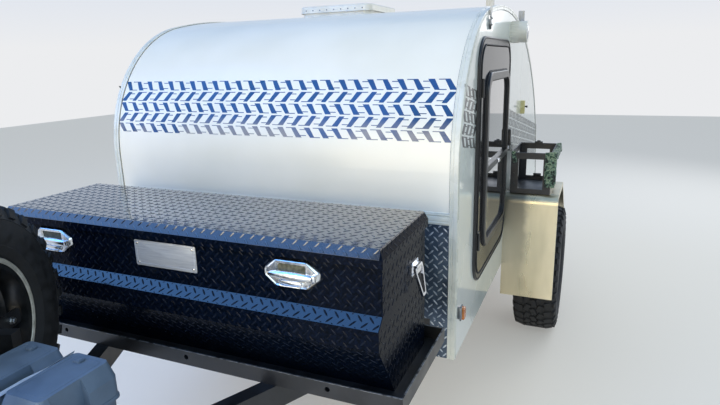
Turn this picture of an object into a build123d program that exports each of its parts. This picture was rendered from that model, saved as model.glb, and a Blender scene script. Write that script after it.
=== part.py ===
# Teardrop camping trailer on its jack, with a tongue tool box, two battery boxes and a spare wheel.
# Millimetres. +Z is up, the tongue points along -Y, and the ground is at z = 0.
# The origin is on the ground, half way between the coupler's nose and the tail.

from build123d import *
from math import atan2, cos, degrees, radians, sin, sqrt, tan
import os

os.makedirs("parts", exist_ok=True)

# Body shell
body_width = 1524
body_length = 2650
body_height = 1286
body_bottom = 510
wall = 28
skin = 28
front_flat = 690
brow_depth = 449
brow_drop = 48
crown_depth = 1138
crown_drop = 16
shoulder_from_tail = 472
shoulder_height = 851
strip_low = 1018
strip_high = 1062
strip_proud = 4
guard_sheet = 2
trim_width = 27
trim_proud = 4
trim_side_width = 16
trim_side_proud = 2

# Chassis, tongue and axle
tongue_length = 1490
frame_top = 647
rail_height = 76
rail_width = 50
tube_wall = 4
rail_inset = 4
cross_count = 5
cross_tail_gap = 48
floor_sheet = 30
tongue_angle = 25.2
apex_from_front = 1272
coupler_ball = 50.8
coupler_socket_gap = 0.4
axle_beam = 76
axle_drop = 65
arm_run = 160
arm_thick = 24
arm_height = 60
spindle_radius = 20
spindle_clearance = 0.06

# Wheels
wheel_y = 898
wheel_gap = 50.5
tyre_radius = 366
tyre_width = 235
rim_radius = 205
bead_radius = 190
rim_half_width = 100
well_radius = 160
rim_sheet = 6
lug_circle = 114.3
lug_count = 5
hand_holes = 8
drum_radius = 128
drum_depth = 62

# Fenders and the can rack
fender_front = 463
fender_width = 265
fender_top = 896
fender_low = 338
fender_flat = 370
fender_tail_run = 560
fender_tail_height = 510
fender_sheet = 4
fender_lip = 25
rack_width = 197
rack_length = 356
rack_height = 208
rack_inset = 24
rack_from_fender_front = 24
rack_strap = 38
rack_sheet = 3
rack_lip = 24
strap_low = 54
strap_out = 25
strap_roll = 52

# Doors
door_centre_y = 67
door_centre_z = 1165
door_width = 752
door_height = 979
door_radius = 120
flange_width = 26
flange_thick = 8
lining_thick = 6
door_gap = 5
leaf_thick = 30
leaf_proud = 10
window_shift = 25
window_width = 552
window_height = 720
window_radius = 90
window_rim = 32
window_proud = 12
window_bar = 26
window_bar_z = 1135
glass_thick = 5
door_latch_z = 1190

# Galley hatch, bulkhead and counter
hatch_seam = 1680
hatch_gap = 5
hatch_bottom = 652
hinge_radius = 6
board = 18
bulkhead_low = 1990
bulkhead_step = 1160
counter_height = 920
counter_depth = 430
sill_thick = 20
sill_inset = 24

# Roof vent
vent_x = -120
vent_y = 548
vent_size = 406
vent_hole = 356
vent_riser = 56
vent_lid_height = 34
vent_flange = 5
vent_flange_out = 15
vent_sheet = 3
vent_clearance = 6

# Tool box on its tray
tray_side_gap = 57
tray_front_gap = 9
tray_back_gap = 47
tray_angle = 50
tray_ledge = 110
tray_sheet = 5
box_half = 699
box_front_gap = 554
box_back_gap = 173
box_top = 1095
box_sheet = 4
ledge_high = 922
ledge_low = 893
ledge_out = 32
kick_high = 834
kick_mid = 700
kick_mid_in = 56
kick_low_in = 84
lid_side_gap = 8
lid_front_gap = 16
lid_back_gap = 10
lid_rise = 17
lid_skirt = 34
lid_sheet = 3
lid_bevel_drop = 26
lid_bevel_run = 12
seal_gap = 0.3
handle_width = 178
handle_height = 88
handle_thick = 14
handle_x = (-500, 432)
handle_z = 1010
ring_from_back = 112
ring_from_top = 130

# Battery boxes
battery_x = (-115, 55)
battery_from_apex = 259
battery_length = 202
battery_width = 140
battery_height = 126
battery_lid_width = 152
battery_lid_length = 210
battery_skirt = 58
battery_crown = 38
battery_crown_in = 19
battery_recess = (-73, 14)
battery_tray_sheet = 4

# Spare wheel
spare_x = -388
spare_from_apex = 294
spare_z = 880
spare_turn = 23

# Jack
jack_from_apex = 32
jack_outer_radius = 30
jack_inner_radius = 24
jack_bottom = 430
jack_top = 905
jack_foot_radius = 75
jack_foot_height = 28
jack_clearance = 0.5
plate_from_apex = 86

# Small fittings on the shell
marker_from_front = 92
marker_z = 655
porch_y = 465
porch_z = 1690
awning_y = (-110, 800)

y_front = tongue_length - (tongue_length + body_length + trim_proud) / 2
y_tail = y_front + body_length
y_nose = y_front - tongue_length
half_body = body_width / 2
inner_half = half_body - wall
frame_low = frame_top - rail_height
floor_top = frame_top + floor_sheet
rail_x = inner_half - rail_inset - rail_width / 2
apex_y = y_front - apex_from_front
jack_y = apex_y + jack_from_apex
battery_y = apex_y + battery_from_apex
spare_y = apex_y + spare_from_apex
wheel_x = half_body + wheel_gap + tyre_width / 2
box_front = y_front - box_front_gap
box_back = y_front - box_back_gap
tray_half = box_half + tray_side_gap
tray_front = box_front - tray_front_gap
tray_back = box_back + tray_back_gap
lid_half = box_half + lid_side_gap
lid_front = box_front - lid_front_gap
lid_back = box_back + lid_back_gap
lid_top = box_top + lid_rise
lid_low = box_top - lid_skirt
roof_z = body_bottom + body_height


def publish(piece, name):
    piece.part.label = name
    export_step(piece.part, f"parts/{name}.step")


def arc_through(start, heading, end):
    """Centre, radius and last heading (degrees) of the arc that leaves start along heading"""
    run, rise = end[0] - start[0], end[1] - start[1]
    left_x, left_z = -sin(radians(heading)), cos(radians(heading))
    radius = (run * run + rise * rise) / (2 * (run * left_x + rise * left_z))
    centre = (start[0] + left_x * radius, start[1] + left_z * radius)
    return centre, abs(radius), 2 * degrees(atan2(rise, run)) - heading


# Side outline, from the top of the flat front over the roof to the tail
outline_points = (
    (y_front, body_bottom + front_flat),
    (y_front + brow_depth, roof_z - brow_drop),
    (y_front + crown_depth, roof_z - crown_drop),
    (y_tail - shoulder_from_tail, body_bottom + shoulder_height),
    (y_tail, body_bottom),
)
outline_arcs = []
heading = 90
for start, end in zip(outline_points, outline_points[1:]):
    centre, radius, next_heading = arc_through(start, heading, end)
    outline_arcs.append((start, end, centre, radius, heading))
    heading = next_heading


def roof_height(y):
    """Height of the outline above the ground at y"""
    for start, end, centre, radius, _ in outline_arcs:
        if start[0] <= y <= end[0]:
            return centre[1] + sqrt(radius * radius - (y - centre[0]) ** 2)
    return body_bottom


with BuildSketch() as side_face:
    with BuildLine():
        Line((y_front, body_bottom), outline_points[0])
        for start, end, _, _, heading in outline_arcs:
            TangentArc([start, end], tangent=(cos(radians(heading)), sin(radians(heading))))
        Line((y_tail, body_bottom), (y_front, body_bottom))
    make_face()


def side_region(y_low, y_high, z_low, z_high):
    """A rectangle in the side view, given by its limits"""
    with Locations(((y_low + y_high) / 2, (z_low + z_high) / 2)):
        Rectangle(y_high - y_low, z_high - z_low, mode=Mode.INTERSECT)


def skin_band(thickness, y_low, y_high, z_low, z_high):
    """The part of a skin of this thickness, under the outline, that lies in the given limits"""
    add(side_face.sketch)
    offset(side_face.sketch, amount=-thickness, mode=Mode.SUBTRACT)
    side_region(y_low, y_high, z_low, z_high)


def box_tube(width, height):
    """Cross-section of a hollow rectangular tube, in the current sketch"""
    RectangleRounded(width, height, 6)
    RectangleRounded(width - 2 * tube_wall, height - 2 * tube_wall, 3, mode=Mode.SUBTRACT)


# Chassis under the floor: two long rails and five cross tubes
cross_half = rail_x - rail_width / 2
rail_mid_z = frame_top - rail_height / 2
rail_start = y_front + skin
tail_y = y_tail - sill_inset
rail_end = tail_y - sill_thick
cross_step = (rail_end - rail_start - rail_width - cross_tail_gap) / (cross_count - 1)
cross_stations = tuple(cross_step * number for number in range(cross_count))
with BuildPart() as chassis_frame:
    with BuildSketch(Plane.XZ.offset(-rail_start)):
        with Locations((-rail_x, rail_mid_z), (rail_x, rail_mid_z)):
            box_tube(rail_width, rail_height)
    extrude(amount=-(rail_end - rail_start))
    with BuildSketch(Plane.YZ.offset(-cross_half)):
        for station in cross_stations:
            with Locations((rail_start + rail_width / 2 + station, rail_mid_z)):
                box_tube(rail_width, rail_height)
    extrude(amount=2 * cross_half)
publish(chassis_frame, "chassis_frame")

# Tongue: two tubes that meet at the apex, a gusset plate for the jack and a cross angle
tongue_end = rail_start
tongue_slope = tan(radians(tongue_angle))
tube_across = rail_width / cos(radians(tongue_angle))
spread = (tongue_end - apex_y) * tongue_slope
gusset_sheet = 6
gusset_back = 300
tip_y = apex_y - 22
with BuildPart() as tongue_frame:
    with BuildSketch(Plane.XY.offset(frame_low)):
        for side in (-1, 1):
            with BuildLine():
                Polyline(
                    (0, apex_y - tube_across / 2 / tongue_slope),
                    (side * (spread + tube_across / 2), tongue_end),
                    (side * (spread - tube_across / 2), tongue_end),
                    (0, apex_y + tube_across / 2 / tongue_slope),
                    close=True,
                )
            make_face()
    extrude(amount=rail_height)
    with BuildSketch(Plane.XY.offset(frame_low - gusset_sheet)):
        with BuildLine():
            Polyline(
                (-20, tip_y),
                (20, tip_y),
                (gusset_back * tongue_slope, apex_y + gusset_back),
                (-gusset_back * tongue_slope, apex_y + gusset_back),
                close=True,
            )
        make_face()
    extrude(amount=gusset_sheet)
    with BuildSketch(Plane.XY.offset(frame_top)):
        with Locations(((battery_x[0] + battery_x[1]) / 2, battery_y)):
            Rectangle(battery_x[1] - battery_x[0] + battery_width + 4, battery_length + 4)
    extrude(amount=battery_tray_sheet)
    split(bisect_by=Plane.XZ.offset(-tip_y), keep=Keep.BOTTOM)
    with BuildSketch(Plane.XY.offset(frame_low - gusset_sheet)):
        with Locations((0, jack_y)):
            Circle(jack_outer_radius + jack_clearance)
    extrude(amount=rail_height + gusset_sheet, mode=Mode.SUBTRACT)
publish(tongue_frame, "tongue_frame")

# Coupler: a pressed hood over the ball, widening back to the tongue tubes
ball_y = y_nose + 48
ball_socket = coupler_ball / 2 + coupler_socket_gap
hood_low = frame_low + 6
hood_height = frame_top - hood_low
hood_half = 46
plate_back = apex_y + plate_from_apex
plate_sheet = 8
plate_half = (plate_back - apex_y) * tongue_slope + tube_across / 2
lever_z = frame_top + plate_sheet
with BuildPart() as coupler:
    with BuildSketch(Plane.XY.offset(hood_low)) as hood_plan:
        with BuildLine():
            Polyline(
                (-hood_half, ball_y),
                (-hood_half, tip_y - 70),
                (-26, tip_y),
                (26, tip_y),
                (hood_half, tip_y - 70),
                (hood_half, ball_y),
                close=True,
            )
        make_face()
        with Locations((0, ball_y)):
            Circle(48)
    extrude(amount=hood_height)
    with BuildSketch(Plane.XY.offset(frame_top)):
        with BuildLine():
            Polyline(
                (-hood_half + 6, ball_y + 20),
                (-hood_half + 6, tip_y),
                (-plate_half, plate_back),
                (plate_half, plate_back),
                (hood_half - 6, tip_y),
                (hood_half - 6, ball_y + 20),
                close=True,
            )
        make_face()
        with Locations((0, jack_y)):
            Circle(jack_outer_radius + jack_clearance, mode=Mode.SUBTRACT)
    extrude(amount=plate_sheet)
    with BuildSketch(Plane.YZ.offset(-13)):
        with BuildLine():
            Polyline(
                (ball_y + 22, lever_z),
                (ball_y + 18, lever_z + 20),
                (ball_y + 40, lever_z + 28),
                (ball_y + 112, lever_z + 16),
                (ball_y + 114, lever_z + 8),
                (ball_y + 50, lever_z + 10),
                (ball_y + 46, lever_z),
                close=True,
            )
        make_face()
    extrude(amount=26)
    with BuildSketch(Plane.XY.offset(hood_low)):
        with Locations((0, ball_y)):
            Circle(ball_socket)
    extrude(amount=hood_height - 10, mode=Mode.SUBTRACT)
    with BuildSketch(Plane.XY.offset(hood_low)):
        with Locations((0, ball_y + 74)):
            Rectangle(2 * hood_half - 16, 70)
    extrude(amount=hood_height - 12, mode=Mode.SUBTRACT)
publish(coupler, "coupler")

# Jack: fixed outer tube with a flange on the gusset, gear head and crank, and a sliding leg
flange_half = 46
crank_z = jack_top + 24
with BuildPart() as jack_tube:
    with BuildSketch(Plane.XY.offset(jack_bottom)):
        with Locations((0, jack_y)):
            Circle(jack_outer_radius)
            Circle(jack_inner_radius + jack_clearance, mode=Mode.SUBTRACT)
    extrude(amount=jack_top - jack_bottom)
    with BuildSketch(Plane.XY.offset(lever_z)):
        with Locations((0, jack_y)):
            RectangleRounded(2 * flange_half, 2 * flange_half, 12)
            Circle(jack_inner_radius + jack_clearance, mode=Mode.SUBTRACT)
    extrude(amount=10)
    with BuildSketch(Plane.XY.offset(jack_top)):
        with Locations((0, jack_y)):
            Circle(jack_outer_radius + 8)
    extrude(amount=46)
    fillet(jack_tube.edges().group_by(Axis.Z)[-1], radius=8)
    with BuildSketch(Plane.YZ.offset(jack_outer_radius)):
        with Locations((jack_y, crank_z)):
            Circle(9)
    extrude(amount=40)
    with BuildSketch(Plane.YZ.offset(jack_outer_radius + 34)):
        with Locations((jack_y - 75, crank_z)):
            SlotCenterToCenter(150, 20)
    extrude(amount=8)
    with BuildSketch(Plane.YZ.offset(jack_outer_radius + 42)):
        with Locations((jack_y - 150, crank_z)):
            Circle(14)
    extrude(amount=84)
publish(jack_tube, "jack_tube")

with BuildPart() as jack_leg:
    with Locations((0, jack_y, 0)):
        Cylinder(jack_foot_radius, jack_foot_height, align=(Align.CENTER, Align.CENTER, Align.MIN))
    chamfer(jack_leg.edges().group_by(Axis.Z)[-1], length=9)
    with BuildSketch(Plane.XY.offset(jack_foot_height)):
        with Locations((0, jack_y)):
            Circle(jack_inner_radius)
    extrude(amount=jack_bottom + 180 - jack_foot_height)
publish(jack_leg, "jack_leg")

# Torsion axle: square beam hung under the rails, trailing arms and spindles
beam_z = frame_low - axle_drop - axle_beam / 2
beam_y = wheel_y - arm_run
beam_half = half_body + 13
arm_drop = beam_z - tyre_radius
arm_tilt = degrees(atan2(-arm_drop, arm_run))
with BuildPart() as axle:
    with BuildSketch(Plane.YZ.offset(-beam_half)):
        with Locations((beam_y, beam_z)):
            RectangleRounded(axle_beam, axle_beam, 8)
    extrude(amount=2 * beam_half)
    with BuildSketch(Plane.XY.offset(beam_z + axle_beam / 2 - 10)):
        with Locations((-rail_x, beam_y), (rail_x, beam_y)):
            Rectangle(rail_width, axle_beam + 60)
    extrude(amount=axle_drop + 10)
    for side in (-1, 1):
        with BuildSketch(Plane.YZ.offset(side * beam_half)):
            with Locations((beam_y + arm_run / 2, beam_z - arm_drop / 2)):
                SlotCenterToCenter(sqrt(arm_run**2 + arm_drop**2), arm_height, rotation=arm_tilt)
        extrude(amount=side * arm_thick)
        with BuildSketch(Plane.YZ.offset(side * (beam_half + arm_thick))):
            with Locations((wheel_y, tyre_radius)):
                Circle(spindle_radius)
        extrude(amount=side * (wheel_x + 20 - beam_half - arm_thick))
publish(axle, "axle")

# Wheel pieces, made about the origin with the axle along X and the outer face towards +X
wheel_section = Plane.XY
bead_half = rim_half_width - 10.5
tyre_side = (
    (bead_half, bead_radius + 0.3),
    (bead_half, rim_radius + 2),
    (tyre_width / 2, rim_radius + 80),
    (tyre_width / 2 - 14, tyre_radius - 22),
    (tyre_width / 2 - 42, tyre_radius),
)
with BuildPart() as tyre:
    with BuildSketch(wheel_section):
        with BuildLine():
            other_side = [(-along, radius) for along, radius in reversed(tyre_side)]
            Polyline(*tyre_side, *other_side, close=True)
        make_face()
    revolve(axis=Axis.X)

# Rim section: (distance along the axle, radius), first along the outside, then back inside
rim_outside = (
    (-rim_half_width, rim_radius),
    (-rim_half_width + 8, rim_radius),
    (-rim_half_width + 10, bead_radius),
    (-58, bead_radius),
    (-42, well_radius),
    (8, well_radius),
    (24, bead_radius),
    (rim_half_width - 10, bead_radius),
    (rim_half_width - 8, rim_radius),
    (rim_half_width, rim_radius),
)
rim_inside = (
    (rim_half_width, rim_radius - rim_sheet),
    (rim_half_width - 5, bead_radius - rim_sheet),
    (28, bead_radius - rim_sheet),
    (12, well_radius - rim_sheet),
    (-46, well_radius - rim_sheet),
    (-62, bead_radius - rim_sheet),
    (-rim_half_width + 5, bead_radius - rim_sheet),
    (-rim_half_width, rim_radius - rim_sheet),
)
hub_seat = 8
hub_bore = 42
with BuildPart() as rim:
    with BuildSketch(wheel_section):
        with BuildLine():
            Polyline(*rim_outside, *rim_inside, close=True)
        make_face()
    revolve(axis=Axis.X)
    with BuildSketch(wheel_section):
        with BuildLine():
            Polyline(
                (0, hub_bore),
                (0, 82),
                (22, 100),
                (22, 118),
                (0, well_radius - 2),
                (8, well_radius - 2),
                (30, 122),
                (30, 96),
                (hub_seat, 78),
                (hub_seat, hub_bore),
                close=True,
            )
        make_face()
    revolve(axis=Axis.X)
    with BuildSketch(Plane.YZ.offset(-5)):
        with PolarLocations(lug_circle / 2, lug_count):
            Circle(7)
        with PolarLocations(128, hand_holes):
            SlotCenterToCenter(18, 26, rotation=90)
    extrude(amount=60, mode=Mode.SUBTRACT)

with BuildPart() as hub:
    with BuildSketch(Plane.YZ):
        Circle(drum_radius)
    extrude(amount=-drum_depth)
    with BuildSketch(Plane.YZ.offset(-8)):
        Circle(drum_radius - 7)
    extrude(amount=-drum_depth, mode=Mode.SUBTRACT)
    with BuildSketch(Plane.YZ.offset(-drum_depth - 20)):
        Circle(36)
    extrude(amount=drum_depth + 66)
    fillet(hub.faces().sort_by(Axis.X)[-1].edges(), radius=6)
    with BuildSketch(Plane.YZ.offset(-drum_depth - 20)):
        Circle(spindle_radius + spindle_clearance)
    extrude(amount=drum_depth + 20 + 21, mode=Mode.SUBTRACT)

# Where each wheel stands: name, position, turn about Z
wheel_places = (
    ("left", (wheel_x, wheel_y, tyre_radius), 0),
    ("right", (-wheel_x, wheel_y, tyre_radius), 180),
    ("spare", (spare_x, spare_y, spare_z), spare_turn),
)
for place_name, position, turn in wheel_places:
    place = Location(position, (0, 0, turn))
    pieces = (("tyre", tyre), ("rim", rim), ("hub", hub))
    for piece_name, piece in pieces:
        if (piece_name, place_name) == ("hub", "spare"):
            continue
        with BuildPart() as placed:
            add(piece.part.moved(place))
        publish(placed, f"{piece_name}_{place_name}")

# Spare carrier: a post beside the left tongue tube, an arm to the wheel and a bar across its dish
spare_axis = Plane(
    origin=(spare_x, spare_y, spare_z),
    x_dir=(cos(radians(spare_turn + 90)), sin(radians(spare_turn + 90)), 0),
    z_dir=(cos(radians(spare_turn)), sin(radians(spare_turn)), 0),
)
post_along = 14
post_out = (122, 162)
stub_end = 230
stub_height = 50
carrier_bar = 46
carrier_boss = hub_bore + 7
bar_out = 66
with BuildPart() as spare_carrier:
    with BuildSketch(spare_axis.offset(bar_out)):
        with Locations((0, -carrier_bar / 2)):
            RectangleRounded(2 * (bead_radius - rim_sheet) - 20, carrier_bar, 8)
    extrude(amount=10)
    with BuildSketch(spare_axis.offset(hub_seat)):
        Circle(carrier_boss)
    extrude(amount=bar_out - hub_seat)
    with BuildSketch(spare_axis.offset(bar_out + 10)):
        with Locations((post_along, -carrier_bar / 2)):
            Rectangle(40, carrier_bar)
    extrude(amount=post_out[0] - bar_out - 10)
    with BuildSketch(spare_axis.offset(post_out[0])):
        with Locations((post_along, (frame_top - spare_z) / 2)):
            Rectangle(40, spare_z - frame_top)
    extrude(amount=post_out[1] - post_out[0])
    with BuildSketch(spare_axis.offset(post_out[1])):
        with Locations((post_along, frame_top - spare_z + stub_height / 2)):
            Rectangle(40, stub_height)
    extrude(amount=stub_end - post_out[1])
publish(spare_carrier, "spare_carrier")

# Fender: one bent sheet with a lip along its outer side and a flange against the body
fender_path = (
    (fender_front, fender_low),
    (fender_front, fender_top),
    (fender_front + fender_flat, fender_top),
    (fender_front + fender_flat + fender_tail_run, fender_tail_height),
)
with BuildPart() as fender:
    for x_start, width, depth in (
        (half_body, fender_width, fender_sheet),
        (half_body + fender_width - fender_sheet, fender_sheet, fender_lip),
        (half_body, fender_sheet, fender_lip),
    ):
        with BuildSketch(Plane.YZ.offset(x_start)):
            with BuildLine():
                FilletPolyline(*fender_path, radius=48)
                offset(amount=depth, side=Side.RIGHT)
            make_face()
        extrude(amount=width)

# Can rack on the left fender: floor, lip, four corner posts and a top ring
rack_x = half_body + rack_inset + rack_width / 2
rack_y = fender_front + rack_from_fender_front + rack_length / 2
with BuildPart() as can_rack:
    with BuildSketch(Plane.XY.offset(fender_top)):
        with Locations((rack_x, rack_y)):
            Rectangle(rack_width, rack_length)
    extrude(amount=rack_sheet)
    for ring_z, ring_height in ((fender_top, rack_lip), (fender_top + rack_height - 30, 30)):
        with BuildSketch(Plane.XY.offset(ring_z)):
            with Locations((rack_x, rack_y)):
                Rectangle(rack_width, rack_length)
                Rectangle(rack_width - 2 * rack_sheet, rack_length - 2 * rack_sheet, mode=Mode.SUBTRACT)
        extrude(amount=ring_height)
    with BuildSketch(Plane.XY.offset(fender_top)):
        with Locations((rack_x, rack_y)):
            Rectangle(rack_width, rack_length)
            Rectangle(rack_width - 2 * rack_sheet, rack_length - 2 * rack_sheet, mode=Mode.SUBTRACT)
            Rectangle(rack_width - 2 * rack_strap, rack_length, mode=Mode.SUBTRACT)
            Rectangle(rack_width, rack_length - 2 * rack_strap, mode=Mode.SUBTRACT)
    extrude(amount=rack_height)
publish(can_rack, "can_rack")

# Strap bundle over the rack's front corner and along its outer top rail
strap_gap = 0.3
corner_x = rack_x + rack_width / 2 + strap_gap
corner_y = rack_y - rack_length / 2 - strap_gap
with BuildPart() as rack_strap_bundle:
    with BuildSketch(Plane.XY.offset(fender_top + strap_low)):
        with Locations((corner_x - 32, corner_y - 13)):
            Rectangle(32 + strap_out, 56, align=Align.MIN)
        with Locations((corner_x - 60, corner_y)):
            Rectangle(60, 60, align=Align.MIN, mode=Mode.SUBTRACT)
    extrude(amount=rack_height + 8 - strap_low)
    with BuildSketch(Plane.XY.offset(fender_top + rack_height + 8 - strap_roll)):
        with Locations((corner_x, corner_y - 13)):
            Rectangle(strap_out, rack_length + 20, align=Align.MIN)
    extrude(amount=strap_roll)
publish(rack_strap_bundle, "rack_strap")

# Floor and outer shell
floor_end = rail_end - 20
with BuildPart() as floor_panel:
    with BuildSketch(Plane.XY.offset(frame_top)):
        with Locations((0, (rail_start + floor_end) / 2)):
            Rectangle(2 * inner_half, floor_end - rail_start)
    extrude(amount=floor_sheet)
publish(floor_panel, "floor")

cut_width = door_width - 2 * flange_width
cut_height = door_height - 2 * flange_width
cut_radius = door_radius - flange_width
with BuildPart() as wall_panel:
    with BuildSketch(Plane.YZ.offset(inner_half)):
        add(side_face.sketch)
        with Locations((door_centre_y, door_centre_z)):
            RectangleRounded(cut_width, cut_height, cut_radius, mode=Mode.SUBTRACT)
    extrude(amount=wall)

with BuildPart() as trim:
    with BuildSketch(Plane.YZ.offset(half_body)):
        offset(side_face.sketch, amount=trim_proud)
        offset(side_face.sketch, amount=-trim_side_width, mode=Mode.SUBTRACT)
        with Locations(((y_front + y_tail) / 2, body_bottom)):
            Rectangle(body_length - 2 * trim_side_width, 4 * trim_width, mode=Mode.SUBTRACT)
        side_region(y_front - 20, y_tail + 20, body_bottom, roof_z + 20)
    extrude(amount=trim_side_proud)
    with BuildSketch(Plane.YZ.offset(half_body - trim_width)):
        offset(side_face.sketch, amount=trim_proud)
        add(side_face.sketch, mode=Mode.SUBTRACT)
        side_region(y_front - 20, y_tail + 20, body_bottom, roof_z + 20)
    extrude(amount=trim_width + trim_side_proud)

strip_mid = (strip_low + strip_high) / 2
seam_y = y_front + hatch_seam
with BuildPart() as roof_shell:
    with BuildSketch(Plane.YZ.offset(-inner_half)):
        skin_band(skin, y_front - 10, seam_y, strip_mid, roof_z + 10)
    extrude(amount=2 * inner_half)
    with BuildSketch(Plane.XY.offset(roof_z - 200)):
        with Locations((vent_x, vent_y)):
            RectangleRounded(vent_hole, vent_hole, 30)
    extrude(amount=300, mode=Mode.SUBTRACT)
publish(roof_shell, "roof_shell")

with BuildPart() as front_panel:
    with BuildSketch(Plane.YZ.offset(-inner_half)):
        with Locations((y_front + skin / 2, (floor_top + strip_mid) / 2)):
            Rectangle(skin, strip_mid - floor_top)
    extrude(amount=2 * inner_half)
publish(front_panel, "front_panel")

# Stone guard: a sheet over the lower front, cut away where the tongue passes
guard_side = half_body - trim_width
guard_notch = spread + tube_across / 2 + 30
with BuildPart() as stone_guard:
    with BuildSketch(Plane.XZ.offset(-y_front)):
        with Locations((0, (body_bottom + strip_low) / 2)):
            Rectangle(2 * guard_side, strip_low - body_bottom)
        with Locations((0, body_bottom)):
            Rectangle(2 * guard_notch, 2 * (floor_top - 20 - body_bottom), mode=Mode.SUBTRACT)
    extrude(amount=guard_sheet)
publish(stone_guard, "stone_guard")

with BuildPart() as front_strip:
    with BuildSketch(Plane.XZ.offset(-y_front)):
        with Locations((0, strip_mid)):
            Rectangle(2 * guard_side, strip_high - strip_low)
    extrude(amount=strip_proud)
    chamfer(front_strip.edges().filter_by(Axis.X).group_by(Axis.Y)[0], length=1.5)
publish(front_strip, "front_strip")

# Stepped bulkhead between the cabin and the galley, in side view
step_y = seam_y - 60
low_y = y_front + bulkhead_low
with BuildPart() as bulkhead:
    with BuildSketch(Plane.YZ.offset(-inner_half)):
        with BuildLine():
            Polyline(
                (low_y, floor_top),
                (low_y, bulkhead_step),
                (step_y, bulkhead_step),
                (step_y, roof_height(step_y) - skin - 14),
                (step_y - board, roof_height(step_y - board) - skin - 14),
                (step_y - board, bulkhead_step - board),
                (low_y - board, bulkhead_step - board),
                (low_y - board, floor_top),
                close=True,
            )
        make_face()
    extrude(amount=2 * inner_half)
publish(bulkhead, "bulkhead")

# Galley: counter on three uprights, and a shelf with uprights above it
counter_back = low_y + counter_depth
upright_x = (-inner_half + board / 2, -240, 240, inner_half - board / 2)
shelf_z = 1400
shelf_end = seam_y + 70
with BuildPart() as galley:
    with BuildSketch(Plane.XY.offset(counter_height)):
        with Locations((0, (low_y + counter_back) / 2)):
            Rectangle(2 * inner_half, counter_depth)
    extrude(amount=board)
    for x in upright_x:
        with BuildSketch(Plane.YZ.offset(x - board / 2)):
            with Locations(((low_y + counter_back - 25) / 2, (floor_top + counter_height) / 2)):
                Rectangle(counter_back - 25 - low_y, counter_height - floor_top)
        extrude(amount=board)
    with BuildSketch(Plane.XY.offset(shelf_z)):
        with Locations((0, (step_y + shelf_end) / 2)):
            Rectangle(2 * inner_half, shelf_end - step_y)
    extrude(amount=board)
    for x in upright_x:
        with BuildSketch(Plane.YZ.offset(x - board / 2)):
            with Locations(((step_y + shelf_end - 20) / 2, (bulkhead_step + shelf_z) / 2)):
                Rectangle(shelf_end - 20 - step_y, shelf_z - bulkhead_step)
        extrude(amount=board)
publish(galley, "galley")

# Hatch: the rest of the roof skin, hinged just above the seam
hinge_z = roof_height(seam_y) + hinge_radius
leaf_run = 34
leaf_sheet = 2.5
barrel_radius = hinge_radius - 0.6
barrel_half = inner_half - 30
curl = barrel_radius + 0.3
with BuildPart() as hatch:
    hatch_half = inner_half - hatch_gap
    with BuildSketch(Plane.YZ.offset(-hatch_half)):
        skin_band(skin, seam_y + hatch_gap, y_tail + 10, hatch_bottom, roof_z)
    extrude(amount=2 * hatch_half)
    with BuildSketch(Plane.YZ.offset(-barrel_half)):
        with BuildLine():
            Polyline(
                (seam_y + curl, roof_height(seam_y + curl) - 5),
                (seam_y + curl, hinge_z + 1),
                (seam_y + curl + leaf_sheet, hinge_z + 1),
                (seam_y + curl + 6, roof_height(seam_y + curl) + leaf_sheet),
                (seam_y + leaf_run, roof_height(seam_y + leaf_run) + leaf_sheet),
                (seam_y + leaf_run, roof_height(seam_y + leaf_run) - 5),
                close=True,
            )
        make_face()
    extrude(amount=2 * barrel_half)
publish(hatch, "hatch")

with BuildPart() as hatch_hinge:
    with BuildSketch(Plane.YZ.offset(-barrel_half)):
        with BuildLine():
            Polyline(
                (seam_y - leaf_run, roof_height(seam_y - leaf_run) + leaf_sheet),
                (seam_y - leaf_run, roof_height(seam_y - leaf_run) - 5),
                (seam_y - 1, roof_height(seam_y) - 5),
                (seam_y - 1, roof_height(seam_y) + leaf_sheet),
                close=True,
            )
        make_face()
        add(side_face.sketch, mode=Mode.SUBTRACT)
        with Locations((seam_y, hinge_z)):
            Circle(barrel_radius)
    extrude(amount=2 * barrel_half)
publish(hatch_hinge, "hatch_hinge")

latch_z = hatch_bottom + 70
tail_centre, tail_radius = outline_arcs[3][2], outline_arcs[3][3]
latch_y = tail_centre[0] + sqrt(tail_radius**2 - (latch_z - tail_centre[1]) ** 2)
with BuildPart() as hatch_handle:
    with BuildSketch(Plane.XZ.offset(-latch_y + 20)):
        with Locations((0, latch_z)):
            RectangleRounded(150, 54, 10)
    extrude(amount=-28)
    with BuildSketch(Plane.XZ.offset(-latch_y)):
        with Locations((0, latch_z)):
            RectangleRounded(96, 24, 8)
    extrude(amount=-22)
    with BuildSketch(Plane.YZ.offset(-200)):
        add(side_face.sketch)
    extrude(amount=400, mode=Mode.SUBTRACT)
publish(hatch_handle, "hatch_handle")

# Rear sill below the hatch, with a lamp at each end
sill_top = hatch_bottom - hatch_gap - 1
with BuildPart() as rear_sill:
    with BuildSketch(Plane.YZ.offset(-inner_half)):
        with Locations((tail_y - sill_thick / 2, (body_bottom + sill_top) / 2)):
            Rectangle(sill_thick, sill_top - body_bottom)
    extrude(amount=2 * inner_half)
publish(rear_sill, "rear_sill")

lamp_z = 578
with BuildPart() as tail_lamps:
    with BuildSketch(Plane.XZ.offset(-tail_y)):
        with Locations((-inner_half + 120, lamp_z), (inner_half - 120, lamp_z)):
            SlotOverall(166, 60)
    extrude(amount=-18)
    fillet(tail_lamps.edges().group_by(Axis.Y)[-1], radius=4)
publish(tail_lamps, "tail_lamps")

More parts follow.
